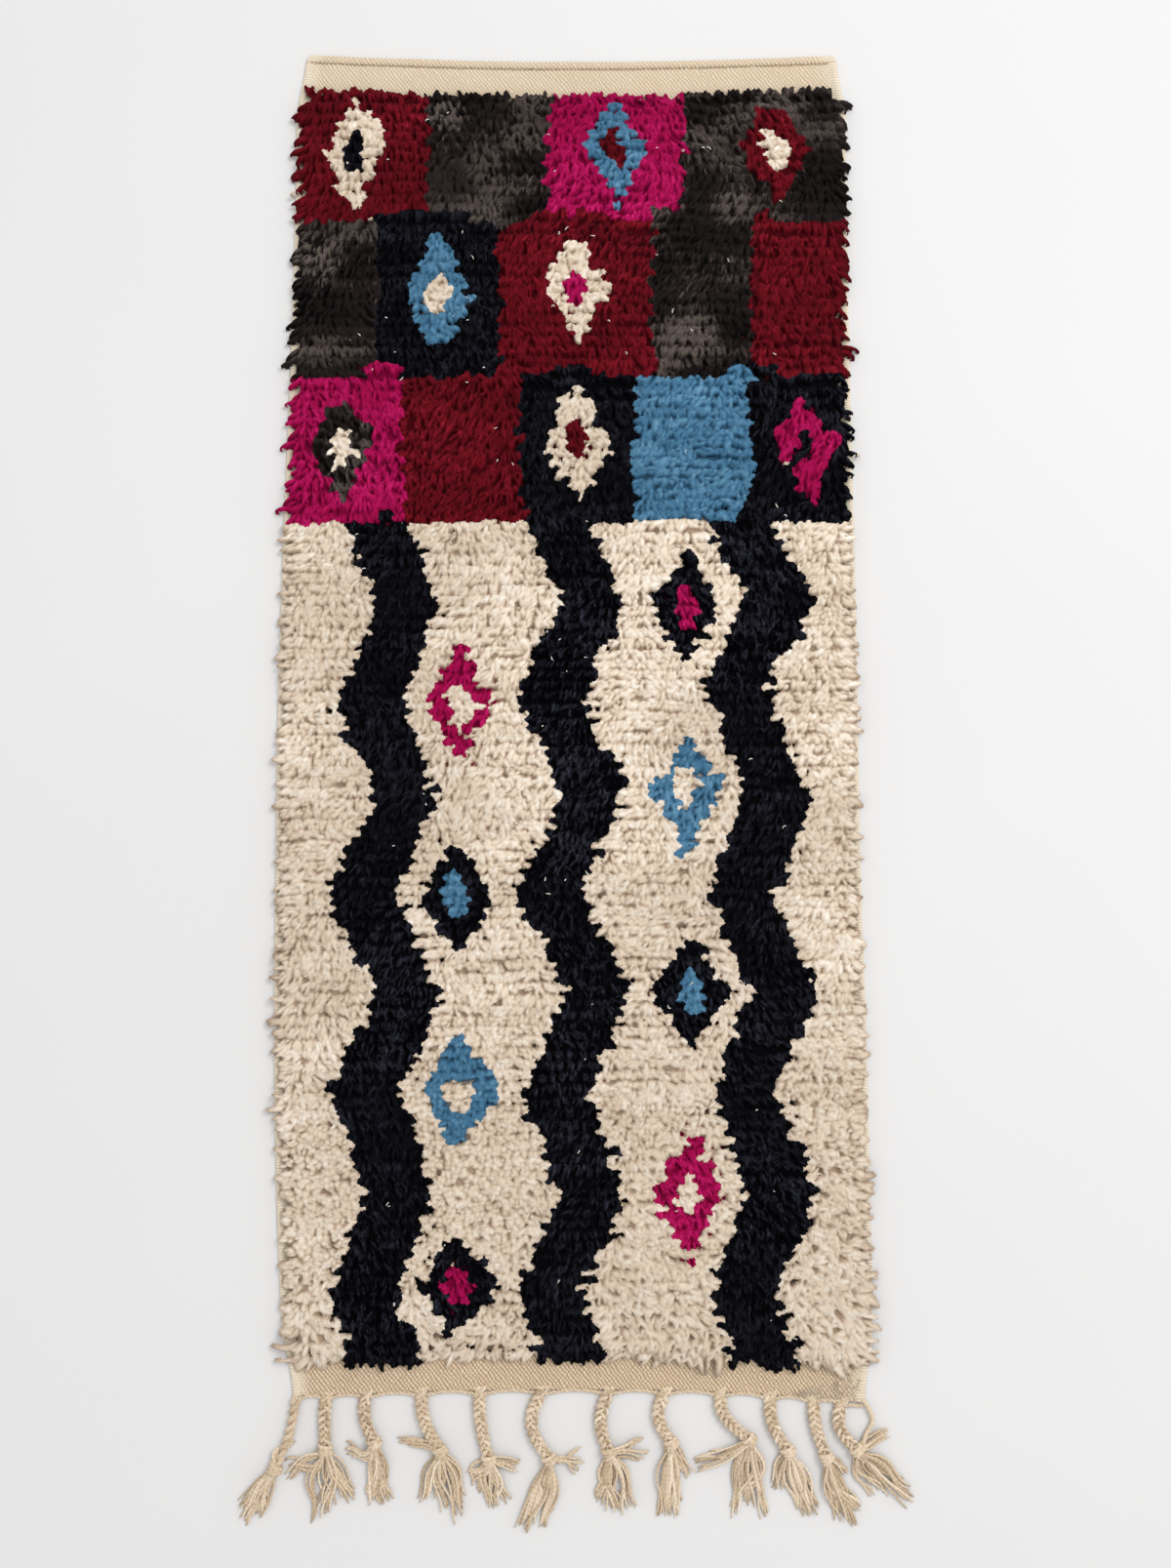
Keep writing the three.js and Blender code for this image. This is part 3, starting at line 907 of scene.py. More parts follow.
@dataclass
class PileSkin:
    """The cut ends of all the knots: one lumpy skin over the highest, creased where end meets end."""

    pile: Pile
    pitch: float = 5.2
    top: float = 18.4
    uneven: float = 0.7
    curls_up_to: tuple[float, float] = (260.0, 480.0)
    border_fall: float = 8.0
    outer_drop: float = 4.5
    corner: tuple[float, float] = (-400.0, 20.0)
    span: tuple[float, float] = (800.0, 1700.0)
    spacing: float = 1.83
    shake: float = 0.33
    fullness: float = 1.3
    skirt: float = 1.9
    bed_shows: float = 0.8
    shade_depth: float = 4.5
    round_mm: float = 22.0
    most_faces: int = 90000
    core_votes: int = 22
    finger_faces: int = 14
    tip_faces: int = 4
    least_faces: int = 5
    seed: int = 12

    def lie(self, nap: Nap) -> dict[str, np.ndarray]:
        """Places the ends and turns each as it is combed, or outwards where its colour or the rug ends.

        Args:
            nap: How these ends stand.

        Returns:
            Arrays by end: wool, tint, lot, middle, heading, long, wide, top, dome and dive.
        """
        shape, rng = self.pile.outline, np.random.default_rng(self.seed)
        knots = self.pile.knots(self.pitch)
        chosen = among(knots["wool"], nap.wools)
        ends = {name: np.repeat(values[chosen], 2) for name, values in knots.items()}
        row, rows, count = ends["row"], len(chosen), 2 * int(chosen.sum())
        which = np.tile([-1.0, 1.0], count // 2)

        # Small curls and long combed locks lie towards the plaited end; sideways fans lie above.
        curled = nap.curly * (1 - ease(ends["up"], *self.curls_up_to))
        combed = ease(lattice_noise(ends["x"] / 190, ends["up"] / 240, 42), -0.3, 0.45)
        combed = nap.curly * np.maximum(combed * (0.5 + 0.5 * curled), 1 - ease(ends["up"], 70, 190))
        x = ends["x"] + which * (nap.beside + 1.3 * combed) + rng.uniform(-1, 1, count) * nap.scatter
        to_left = np.maximum(x + shape.half_width(-1, ends["up"]) - shape.selvedge, 0)
        to_right = np.maximum(shape.half_width(1, ends["up"]) - shape.selvedge - x, 0)
        rim = np.exp(-to_right / nap.rim_fall) - np.exp(-to_left / nap.rim_fall)
        at_rim = np.abs(rim)
        parted = nap.parted * (1 - 0.25 * combed) + 3.2 * at_rim * (1 - 0.6 * nap.curly)
        up = ends["up"] + which * parted + rng.uniform(-0.6, 0.6, count) * nap.scatter
        up += 5.0 * ends["starts"] * (not nap.curly)

        # Each end's own bearing, in degrees from straight down the rug.
        flow = 34 * lattice_noise(x / 150, up / 150, 31) + 24 * lattice_noise(x / 30, row * 0.83, 32)
        flow += 34 * combed * np.sign(lattice_noise(x / 120, up / 90, 43))
        fan = nap.fan_deg * np.tanh(2.6 * lattice_noise(x / 27, row * 0.83, 45))
        fan = fan * (1 - combed) * (1 - curled)
        backward = (curled > 0.5) & (which > 0) & (combed < 0.5)
        stray = rng.normal(0, 1, count) * (nap.stray_deg + 36 * curled) * (1 - 0.5 * combed)
        bearing = np.radians(flow + stray + fan + 180 * backward)
        own = np.stack([np.sin(bearing), -np.cos(bearing)], -1)

        # Ends turn sideways at the rim and where their colour meets another.
        border = np.exp(-ends["run_right"] / self.border_fall) - np.exp(-ends["run_left"] / self.border_fall)
        sideways = nap.border_pull * border * (1 - at_rim) + 0.95 * rim
        pull = np.abs(sideways)
        inward = -0.3 * which * nap.curly - 0.15 + rng.normal(0, 0.22, count) * (1 - 0.6 * at_rim)
        heading = directions(own * (1 - pull)[:, None] + np.stack([sideways, pull * inward], -1))
        last = (row == rows - 1) & (rng.uniform(size=count) < 0.6)
        heading[last] = directions(np.stack([0.5 * rng.normal(size=last.sum()), np.ones(last.sum())], -1))
        outer = np.maximum(at_rim, np.maximum(last, row == 0))

        # Lengths: ivory reaches over the other wools in fingers.
        longer = 1 + nap.ragged * rng.uniform(-1, 1, count) + 0.25 * lattice_noise(x / 70, up / 50, 33)
        reach = (nap.reach - 2.6 * curled * (1 - combed) + nap.combed_reach * combed) * longer
        broad = ease(ends["run_left"] + ends["run_right"], 35, 80)
        pale = ends["wool"] == Wool.IVORY.number
        finger = np.abs(border) * (1 - at_rim) * np.where(pale, broad, 1 - 0.8 * nap.curly)
        reach += np.where(nap.curly, 5.6 - 2.8 * combed, -3.0) * finger * rng.uniform(0.4, 1.4, count)
        reach += (1.0 + 2.5 * nap.curly + 4.0 * lattice_noise(row * 0.9, row * 0.37, 39)) * at_rim
        reach += np.where(row == 0, 5.0 * lattice_noise(x / 13, row + 0.5, 44), 0)
        reach = np.where(last, 0.5 * reach + 3, reach)

        # Heights and tones.
        lump = 1.2 * lattice_noise(x / 17, row * 0.91, 34) + 0.9 * lattice_noise(x / 60, up / 60, 40)
        tint = 0.5 + rng.normal(0, 0.09, count) + 0.12 * lattice_noise(x / 45, row * 0.77, 35)
        streak = 0.9 * lattice_noise(x / 55, row * 0.43, 36) + rng.normal(0, 0.12, count)
        mottled = ends["wool"] == Wool.CHARCOAL.number
        lot = 0.3 + 0.45 * lattice_noise(x / 190, up / 120, 37)
        lot += 0.2 * lattice_noise(x / 300, row * 0.61, 38)
        # Curly wool takes more of its darker other lot towards the plaited end, so it runs darker there.
        lot += nap.curly * (0.45 * (1 - ease(up, 150, 900)) - 0.15)
        size = np.clip(1 + rng.normal(0, nap.size_spread, count), 0.7, 1.5)
        plump = 0.96 + 0.1 * curled - 0.2 * combed - 0.15 * pull - 0.1 * finger * nap.curly
        plump += nap.stout * at_rim
        level = self.top + lump + rng.normal(0, self.uneven, count)
        return {
            "wool": ends["wool"],
            "tint": np.where(mottled, 0.45 + 0.42 * np.tanh(2.5 * streak), tint),
            "lot": np.clip(lot, 0, nap.most_lot),
            "middle": np.stack([x, up], -1) + heading * (0.5 * reach)[:, None],
            "heading": heading,
            "long": 0.43 * nap.width * size + 0.5 * reach,
            "wide": 0.5 * nap.width * size * plump,
            "top": level - self.outer_drop * outer + 0.8 * finger * nap.curly,
            "dome": np.full(count, nap.dome),
            "dive": nap.dive * (1 - 0.7 * finger),
        }

    def cover(self, ends: dict[str, np.ndarray]) -> dict[str, np.ndarray]:
        """Finds the highest end over each point of a fine, shaken grid.

        Args:
            ends: The ends as they lie.

        Returns:
            Arrays by point: x, up, level, owner and local, its place on the yarn. Arrays by face: quads and
            wool.
        """
        corner = np.array(self.corner)
        columns, rows = (int(side / self.spacing) for side in self.span)
        rng = np.random.default_rng(self.seed + 2)
        shaken = rng.uniform(-self.shake, self.shake, (rows * columns, 2))
        level, owner = np.full(rows * columns, -1.0), np.full(rows * columns, -1)
        local = np.zeros((rows * columns, 2))
        middle, heading, long, wide = ends["middle"], ends["heading"], ends["long"], ends["wide"]
        nearest = np.round((middle - corner) / self.spacing).astype(int)
        span = int(math.ceil(math.sqrt(self.skirt) * long.max() / self.spacing))
        for settle, (i, j) in product((False, True), steps_about(span)):
            cell = np.clip(nearest + [j, i], 0, [columns - 1, rows - 1])
            flat = cell[:, 1] * columns + cell[:, 0]
            off = corner + (cell + shaken[flat]) * self.spacing - middle
            u = (off * heading).sum(1) / long
            v = (off[:, 1] * heading[:, 0] - off[:, 0] * heading[:, 1]) / wide
            from_top = u * u + v * v
            inside = from_top < self.skirt
            z = (ends["top"] - ends["dome"] * from_top**self.fullness - ends["dive"] * u)[inside]
            flat = flat[inside]
            if settle:
                mine = z >= level[flat]
                owner[flat[mine]] = np.flatnonzero(inside)[mine]
                round_share = 0.5 + (v * wide)[inside] / self.round_mm
                local[flat[mine]] = np.stack([round_share, (u * long)[inside]], -1)[mine]
            else:
                np.maximum.at(level, flat, z)
        grid_up, grid_x = np.divmod(np.arange(rows * columns), columns)
        x, up = (corner + (np.stack([grid_x, grid_up], -1) + shaken) * self.spacing).T
        first = (np.arange(rows - 1)[:, None] * columns + np.arange(columns - 1)).ravel()
        quads = np.stack([first, first + 1, first + columns + 1, first + columns], -1)
        bed = self.pile.bed_level(x, up)
        shown = (owner[quads] >= 0).all(1) & (level[quads].max(1) > bed[quads].min(1) - self.bed_shows)
        highest = quads[np.arange(len(quads)), level[quads].argmax(1)]
        wool = np.where(shown, ends["wool"][owner[highest]], -1).reshape(rows - 1, columns - 1)
        wool = self.settled(wool).ravel()
        by_point = {"x": x, "up": up, "level": level, "owner": owner, "local": local}
        return {**by_point, "quads": quads, "wool": wool}

    def settled(self, wool: np.ndarray) -> np.ndarray:
        """Clears scraps of colour, but leaves the fingers of ivory that reach out of a field of it.

        Args:
            wool: Numbers in the order of Wool, by row and column, or -1 where no face shows.

        Returns:
            The settled numbers.
        """
        order, ivory = np.arange(len(Wool))[:, None, None], Wool.IVORY.number
        same = wool == order
        joined = counted(same, 2) > self.core_votes
        for length in range(self.finger_faces):
            grown = (counted(joined, 1) > 0) & same
            if length < self.tip_faces:
                joined = grown
            else:
                joined[ivory] = grown[ivory]
        wool = np.where((wool < 0) | joined.any(0), wool, counted(joined, 2).argmax(0))
        for _ in range(2):
            votes = counted(wool == order, 1)
            wool = np.where((wool < 0) | (votes.sum(0) < self.least_faces), -1, votes.argmax(0))
        return wool

    def build(self) -> list[bpy.types.Object]:
        """Skins the ends, wool by wool.

        Returns:
            The new pieces.
        """
        lain = [self.lie(nap) for nap in (SLEEK, CURLY)]
        ends = {name: np.concatenate([group[name] for group in lain]) for name in lain[0]}
        skin = self.cover(ends)
        x, up, level, owner = (skin[name] for name in ("x", "up", "level", "owner"))
        points = np.stack([x, self.pile.outline.bent(x, up), np.maximum(level, 0.4)], -1)
        # Painted shade: the along value is 1 at an end's top and falls to 0 a shade depth below it, so the
        # wool is coloured darker down in the creases and palest on top.
        height = np.clip(1 - (ends["top"][owner] - level) / self.shade_depth, 0, 1)
        spread = np.stack([x - self.corner[0], up], -1) / self.span[1]
        pieces = []
        for wool in Wool:
            material, faces = WOOLS[wool].material(), skin["quads"][skin["wool"] == wool.number]
            for part, some in enumerate(np.array_split(faces, math.ceil(len(faces) / self.most_faces)), 1):
                used, corners = np.unique(some.ravel(), return_inverse=True)
                maps = {"Yarn": skin["local"][some].reshape(-1, 2), "OFBake": spread[some].reshape(-1, 2)}
                values = {name: ends[name][owner[used]] for name in ("tint", "lot")}
                piece = joined_mesh(
                    f"pile_{wool.value}_{part}",
                    points[used],
                    corners.ravel(),
                    np.arange(len(some)) * 4,
                    maps,
                    {**values, "along": height[used]},
                    material,
                )
                pieces.append(piece)
        return pieces


@dataclass
class GroundCloth:
    """The flat weave that carries the pile: bare bands at both ends, rolled selvedges, and a turned hem."""

    outline: Outline
    level: float = 3.0
    thick: float = 2.0
    underside: float = 0.15
    hem_turn: float = 10.0
    hem_swell: float = 2.6
    roll: float = 1.6
    roll_width: float = 9.0
    corner: float = 7.0
    heading_from: float = 700.0
    side_lines: tuple[float, ...] = (0.0, 1.0, 2.6, 4.5, 6.5, 8.2, 9.4)
    low_lines: tuple[float, ...] = (0.0, 1.5, 4.0, 8.0, 14.0, 22.0, 30.0)
    top_lines: tuple[float, ...] = (14.0, 12.0, 11.0, 10.2, 9.4, 8.0, 6.0, 4.0, 2.2, 1.0, 0.3, 0.0)
    columns_inside: int = 60
    rows_inside: int = 120

    def build(self) -> bpy.types.Object:
        """Models the cloth from a grid, with its lines close together where it is turned or rolled.

        Returns:
            The new piece.
        """
        shape, side = self.outline, np.array(self.side_lines)
        middle = np.linspace(40, shape.length - 20, self.rows_inside)
        up = np.concatenate([self.low_lines, middle, shape.length - np.array(self.top_lines)])[:, None]
        inside = np.linspace(0, 1, self.columns_inside + 2)[1:-1]
        rounded = self.corner * (1 - ease(shape.length - up, -self.corner, 2 * self.corner))
        left, right = rounded - shape.half_width(-1, up), shape.half_width(1, up) - rounded
        between = left + 12 + (right - left - 24) * inside
        x = np.concatenate([left + side, between, right - side[::-1]], axis=1)
        up = np.broadcast_to(up, x.shape)
        y = shape.bent(x, up)
        from_side, from_top = np.minimum(x - left, right - x), shape.length - up
        rolled = self.roll * np.sin(np.clip(from_side / self.roll_width, 0, 1) * math.pi) ** 0.7
        folded = np.sin(np.clip(from_top / self.hem_turn, 0, 1) * math.pi)
        turned = self.hem_swell * np.clip(folded, 0, 1) ** 0.5
        groove = -0.8 * np.exp(-(((from_top - self.hem_turn - 0.8) / 1.0) ** 2))
        pucker = 0.5 * lattice_noise(x / 26, y / 9, 51) * ease(from_top, 40, 4)
        ripple = 0.5 * lattice_noise(x / 40, y / 30, 52)
        z = self.level + np.maximum(rolled, turned) + groove + pucker + ripple
        values = {"up": up > self.heading_from, "selvedge": 1 - ease(from_side, 8.5, 11.5)}
        flat = np.stack([x, up], -1) * MM
        cloth = grid_piece("ground_cloth", np.stack([x, y, z], -1), values, self.thick, flat)
        self.lay_flat(cloth)
        cloth.data.materials.append(WeaveFinish().material())
        return cloth

    def lay_flat(self, cloth: bpy.types.Object) -> None:
        """Puts the lower half of the thickened cloth on the floor.

        Args:
            cloth: The cloth, whose lower points come after its upper ones.
        """
        half = len(cloth.data.vertices) // 2
        place = np.zeros(half * 6, np.float32)
        cloth.data.vertices.foreach_get("co", place)
        place = place.reshape(-1, 3)
        place[half:, :2] = place[:half, :2]
        place[half:, 2] = self.underside * MM
        cloth.data.vertices.foreach_set("co", place.ravel())
        cloth.data.update()

    def stitches(self, pitch: float = 5.2, long: float = 3.6) -> bpy.types.Object:
        """Sews the turned hem down with a row of small stitches, coloured darker than the hem as painted
        shade of their groove.

        Args:
            pitch: One stitch to the next.
            long: A stitch's length.

        Returns:
            The new piece.
        """
        shape, rng = self.outline, np.random.default_rng(61)
        up = shape.length - self.hem_turn - 0.6
        middle = np.arange(8 - float(shape.half_width(-1, up)), float(shape.half_width(1, up)) - 8, pitch)
        middle = middle + rng.uniform(-0.5, 0.5, len(middle))
        share = np.linspace(-0.5, 0.5, 5)
        x = middle[:, None] + long * share
        y = shape.bent(x, np.full(x.shape, up)) + 0.4 * rng.normal(size=(len(middle), 1))
        z = self.level + 0.7 - 2.2 * share**2 + 0 * x
        radii = np.broadcast_to(np.array([0.4, 0.75, 0.85, 0.75, 0.4]), x.shape)
        yarns = tubes(np.stack([x, y, z], -1), radii, 5), 0.4 + rng.normal(0, 0.12, len(middle))
        # Painted shade: the thread is coloured darker than the hem, for the shadowed groove that the
        # stitches sit in.
        groove_shaded_thread = YarnFinish("groove_shaded_sewing", "8d7557", "b39a78", "cdb593", ply_mm=2.0)
        piece = yarn_piece("hem_stitches", [yarns], groove_shaded_thread.material())
        return piece


@dataclass(frozen=True)
class PlaitRow:
    """One group of warp ends; angles are from straight down, positive to the right."""

    root: float
    drift: float
    drop: float
    sway: float
    tips: tuple[float, ...]
    tails: tuple[float, ...]
    side_tips: tuple[float, ...]
    side_tail: float
    lay: Lay = Lay.PLAITED


@dataclass
class Fringe:
    """The warp ends at the plaited edge: plaits, knots and tassels, and the cord along the edge."""

    outline: Outline
    yarn: float = 1.5
    strand_yarns: int = 5
    steps: int = 36
    chevron: float = 8.2
    width: float = 18.4
    twist_length: float = 24.0
    wrap_yarn: float = 2.1
    knot_level: float = 7.6
    wraps: tuple[tuple[float, ...], ...] = (  # each: shift along, tilt, half width and half height
        (-4.2, 0.25, 7.6, 5.6),
        (-1.4, 0.45, 7.6, 5.6),
        (1.6, 0.2, 7.6, 5.6),
        (4.4, -0.2, 7.6, 5.6),
        (0.5, -0.7, 6.6, 6.2),
    )
    tassel_yarn: float = 1.6
    tassel_yarns: int = 36
    side_yarns: int = 9
    cord_yarn: float = 1.35
    cord_twist: float = 13.0
    loop_cord: float = 2.7
    corner_x: float = 371.0
    rows: tuple[PlaitRow, ...] = (
        PlaitRow(-344, -25, 88, 4, (-46, -36, -24, -17), (66, 76, 78, 62), (143, 150), 48, Lay.TWISTED),
        PlaitRow(-306, 0, 66, -2, (-14, -6, 25, 36), (94, 85, 72, 70), (-63, -56), 62),
        PlaitRow(-256, 12, 60, -7, (-4, 2, 12), (73, 79, 76), (-71, -80), 46),
        PlaitRow(-186, 25, 72, -8, (-26, -5, 10, 19, 28), (69, 56, 76, 88, 80), (-106, -100), 56),
        PlaitRow(-113, 13, 85, -4, (-58, -19, 2, 12, 29), (34, 49, 55, 59, 60), (85, 78), 38),
        PlaitRow(-33, 10, 85, -19, (-28, -18, -6, 3), (92, 93, 86, 70), (63, 84, 103), 42),
        PlaitRow(51, 0, 76, -11, (-21, -7, 7, 22), (59, 71, 74, 80), (110, 83), 50),
        PlaitRow(122, 8, 64, -13, (-10, -2, 5), (90, 86, 89), (30, 22), 46),
        PlaitRow(192, 37, 58, -14, (-15, -9, 0, 11), (101, 88, 86, 96), (-62, -68), 76),
        PlaitRow(255, 22, 68, -9, (11, 17, 24), (72, 83, 85), (-20, -12), 50),
        PlaitRow(309, 16, 71, -5, (8, 11, 24, 32), (63, 82, 91, 83), (53, 44), 34),
        PlaitRow(346, 18, 60, -14, (21, 35, 49, 53), (65, 68, 94, 82), (118, 124), 44),
    )

    def spine(self, row: PlaitRow, share: np.ndarray) -> np.ndarray:
        """A plait's middle line on the floor.

        Args:
            row: The plait.
            share: Places from the root, 0, to the knot, 1.

        Returns:
            Points by place and axis.
        """
        edge = float(self.outline.bent(row.root, 0.0))
        line = np.stack([row.root + row.drift * share, edge - row.drop * share, 0 * share], -1)
        line[:, 0] += row.sway * np.sin(math.pi * np.clip(share, 0, 1))
        return line

    def laid_up(self, row: PlaitRow, number: int) -> Yarns:
        """The yarns of a plait, strand by strand.

        Args:
            row: The plait.
            number: Its place along the edge.

        Returns:
            Rings of the yarns, and their tones.
        """
        rng = np.random.default_rng(70 + number)
        share = np.linspace(-0.05, 1.0, self.steps)
        spine = self.spine(row, share)
        ahead = directions(np.gradient(spine, axis=0))
        right = np.stack([-ahead[:, 1], ahead[:, 0], 0 * share], -1)
        length = np.concatenate([[0], np.cumsum(np.linalg.norm(np.diff(spine, axis=0), axis=1))])
        slim = 1.08 - 0.24 * share
        joined = ease(length, 0, 14)
        plaited = row.lay is Lay.PLAITED
        strands, repeat = (3, 3 * self.chevron) if plaited else (2, self.twist_length)
        paths = []
        for strand in range(strands):
            turn = 2 * math.pi * (length / repeat + strand / strands)
            if plaited:
                out, high = (self.width / 2 - 3.4) * np.sin(turn), 2.1 * np.sin(2 * turn)
            else:
                out, high = 3.2 * np.cos(turn), 3.0 * np.sin(turn)
            spread = (strand - (strands - 1) / 2) * 5.4
            for k in range(self.strand_yarns):
                spin = turn * 0.5 + k * 2 * math.pi / self.strand_yarns + 0.4
                across = joined * (slim * out + 2.0 * np.cos(spin)) + (1 - joined) * (spread + (k - 2) * 1.3)
                level = joined * (6.0 + slim * high + 1.9 * np.sin(spin)) + (1 - joined) * 2.0
                path = spine + right * across[:, None]
                path[:, 2] = np.maximum(level, self.yarn)
                paths.append(path)
        paths = np.array(paths)
        radii = np.broadcast_to(self.yarn * slim, paths.shape[:2])
        return tubes(paths, radii, 5), 0.5 + rng.normal(0, 0.16, len(paths))

    def knot(self, row: PlaitRow, number: int) -> Yarns:
        """The wraps of the knot below a plait.

        Args:
            row: The plait.
            number: Its place along the edge.

        Returns:
            Rings of the yarns, and their tones.
        """
        rng = np.random.default_rng(90 + number)
        before, centre = self.spine(row, np.array([0.9, 1.0]))
        ahead = directions(centre - before)
        right = np.array([-ahead[1], ahead[0], 0.0])
        turn = np.linspace(0, 2 * math.pi, 22)
        paths = []
        for shift, tilt, wide, high in self.wraps:
            out, along = wide * np.cos(turn), shift + tilt * 7 * np.cos(turn)
            path = centre + right * out[:, None] + ahead * along[:, None]
            path[:, 2] = np.maximum(self.knot_level + high * np.sin(turn) + rng.normal(0, 0.3), 2.0)
            paths.append(path)
        paths = np.array(paths)
        radii = np.full(paths.shape[:2], self.wrap_yarn)
        return tubes(paths, radii, 6, ahead), 0.52 + rng.normal(0, 0.1, len(paths))

    def tassel(self, row: PlaitRow, number: int) -> Yarns:
        """The loose yarns below a knot, in clumps, and its side bunch.

        Args:
            row: The plait.
            number: Its place along the edge.

        Returns:
            Rings of the yarns, and their tones.
        """
        rng = np.random.default_rng(110 + number)
        centre = self.spine(row, np.array([1.0]))[0]
        aim = float(np.mean(row.tips))
        share = np.linspace(0, 1, 10)
        bend = rng.normal(0, 20, 8)
        paths = []
        for i in range(self.tassel_yarns + self.side_yarns):
            main = i < self.tassel_yarns
            tips = row.tips if main else row.side_tips
            clump = i % len(tips)
            tip = tips[clump] + rng.normal(0, 3.5)
            tail = (row.tails[clump] if main else row.side_tail) * (1.04 - abs(rng.normal(0, 0.12)))
            start = 0.4 * aim + 0.6 * tip if main else tip
            bow = bend[clump if main else clump + 5] + rng.normal(0, 6)
            bearing = np.radians(start + (tip - start) * share + bow * np.sin(2 * math.pi * share))
            step = tail / (len(share) - 1)
            x = np.concatenate([[0], np.cumsum(np.sin(bearing[1:]) * step)])
            y = -np.concatenate([[0], np.cumsum(np.cos(bearing[1:]) * step)])
            wave = rng.uniform(0.6, 3.0) * np.sin(share * rng.uniform(4, 9) + rng.uniform(0, 6)) * share
            apart = wave + rng.normal(0, 2.2) + (2.6 if main else 1.8) * rng.normal() * ease(share, 0, 0.4)
            x += apart * np.cos(np.radians(tip))
            y += apart * np.sin(np.radians(tip)) + rng.normal(0, 1.0)
            lift = rng.uniform(0, 8.0) * (1 - share) ** 0.8 + 2.2 * (1 - share)
            curl = max(0.0, rng.normal(0, 2.0)) * share**2
            paths.append(np.stack([centre[0] + x, centre[1] + y, self.tassel_yarn + lift + curl], -1))
        paths = np.array(paths)
        taper = np.array([0.95, 1, 1, 1, 1, 1, 1, 0.98, 0.9, 0.55])
        radii = self.tassel_yarn * (1 + rng.normal(0, 0.12, (len(paths), 1))) * taper
        return tubes(paths, radii, 5), 0.5 + rng.normal(0, 0.13, len(paths))

    def edge_cord(self) -> Yarns:
        """Two yarns twisted along the plaited edge, pulled down at each plait.

        Returns:
            Rings of the yarns, and their tones.
        """
        roots = np.array([row.root for row in self.rows], float)
        x = np.linspace(roots[0] - 2, self.corner_x, 420)
        gap = np.interp(x, roots, np.arange(len(roots)))
        pulled = 4.2 * np.abs(np.cos(math.pi * gap)) ** 3
        y = self.outline.bent(x, 0 * x) - 0.4 - pulled
        phases = [2 * math.pi * x / self.cord_twist + k * math.pi for k in range(2)]
        paths = np.array([np.stack([x, y + 1.2 * np.cos(p), 2.9 + 1.2 * np.sin(p)], -1) for p in phases])
        return tubes(paths, np.full(paths.shape[:2], self.cord_yarn), 6), np.array([0.5, 0.62])

    def corner_loop(self) -> Yarns:
        """The loose selvedge cord that hangs from the right corner into the last knot.

        Returns:
            Rings of the cord, and its tone.
        """
        knot = self.spine(self.rows[-1], np.array([1.0]))[0]
        corner = np.array([self.corner_x, float(self.outline.bent(self.corner_x, 0.0)) + 4, 4.5])
        bends = [corner + step for step in ([0, 0, 0], [9, -14, 0.5], [12, -28, -0.6], [3, -44, 0.8])]
        ways = np.array([*bends, knot + [7, 6, 6]])
        share = np.linspace(0, 1, 40)
        path = np.stack([through(tuple(ways[:, axis]), share) for axis in range(3)], -1)[None]
        return tubes(path, np.full(path.shape[:2], self.loop_cord), 7), np.array([0.55])

    def build(self) -> list[bpy.types.Object]:
        """Makes the plaits one by one, then the edge cord with its loop.

        Returns:
            The new pieces.
        """
        material = YarnFinish("warp", "8f7556", "d0bb9f", "f4e6d3").material()
        pieces = []
        for number, row in enumerate(self.rows, 1):
            groups = [part(row, number) for part in (self.laid_up, self.knot, self.tassel)]
            piece = yarn_piece(f"warp_plait_{number:02d}", groups, material)
            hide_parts(f"plait_{number:02d}")
            pieces.append(piece)
        cord = yarn_piece("edge_cord", [self.edge_cord(), self.corner_loop()], material)
        return [*pieces, cord]


@dataclass
class LooseFibres:
    """Pale lint caught in the pile, and frayed fuzz at one corner of the hem."""

    outline: Outline
    specks: int = 150
    hairs: int = 110

    def build(self) -> bpy.types.Object:
        """Scatters short bent fibres.

        Returns:
            The new piece.
        """
        rng = np.random.default_rng(131)
        share = np.linspace(-0.5, 0.5, 5)
        up = rng.uniform(70, 1680, self.specks)
        x = rng.uniform(-335, 340, self.specks)
        long = rng.uniform(2.5, 7.5, self.specks)
        corner_x = rng.uniform(285, 372, self.hairs)
        corner_up = rng.uniform(2, 30, self.hairs) * np.clip((corner_x - 270) / 90, 0.2, 1)
        level = rng.uniform(17.0, 19.0, self.specks)
        hair_long = rng.uniform(5, 13, self.hairs)
        hair_level = rng.uniform(3.6, 5.5, self.hairs)
        scattered = (
            (x, up, long, level, 0.55, 0.75),
            (corner_x, corner_up, hair_long, hair_level, 0.28, 0.2),
        )
        groups = []
        for x, up, long, level, thick, tone in scattered:
            turn = rng.uniform(0, math.pi, len(x))[:, None] + rng.normal(0, 0.9, (len(x), 1)) * share
            px = x[:, None] + long[:, None] * share * np.cos(turn)
            py = self.outline.bent(x, up)[:, None] + long[:, None] * share * np.sin(turn)
            paths = np.stack([px, py, level[:, None] - 4 * share**2 + 0 * px], -1)
            radii = np.broadcast_to(thick * np.array([0.6, 1, 1, 1, 0.6]), px.shape)
            groups.append((tubes(paths, radii, 4), tone + rng.normal(0, 0.15, len(x))))
        lint = YarnFinish("lint", "b3a188", "f0e8da", "fffaf0")
        piece = yarn_piece("loose_fibres", groups, lint.material())
        return piece


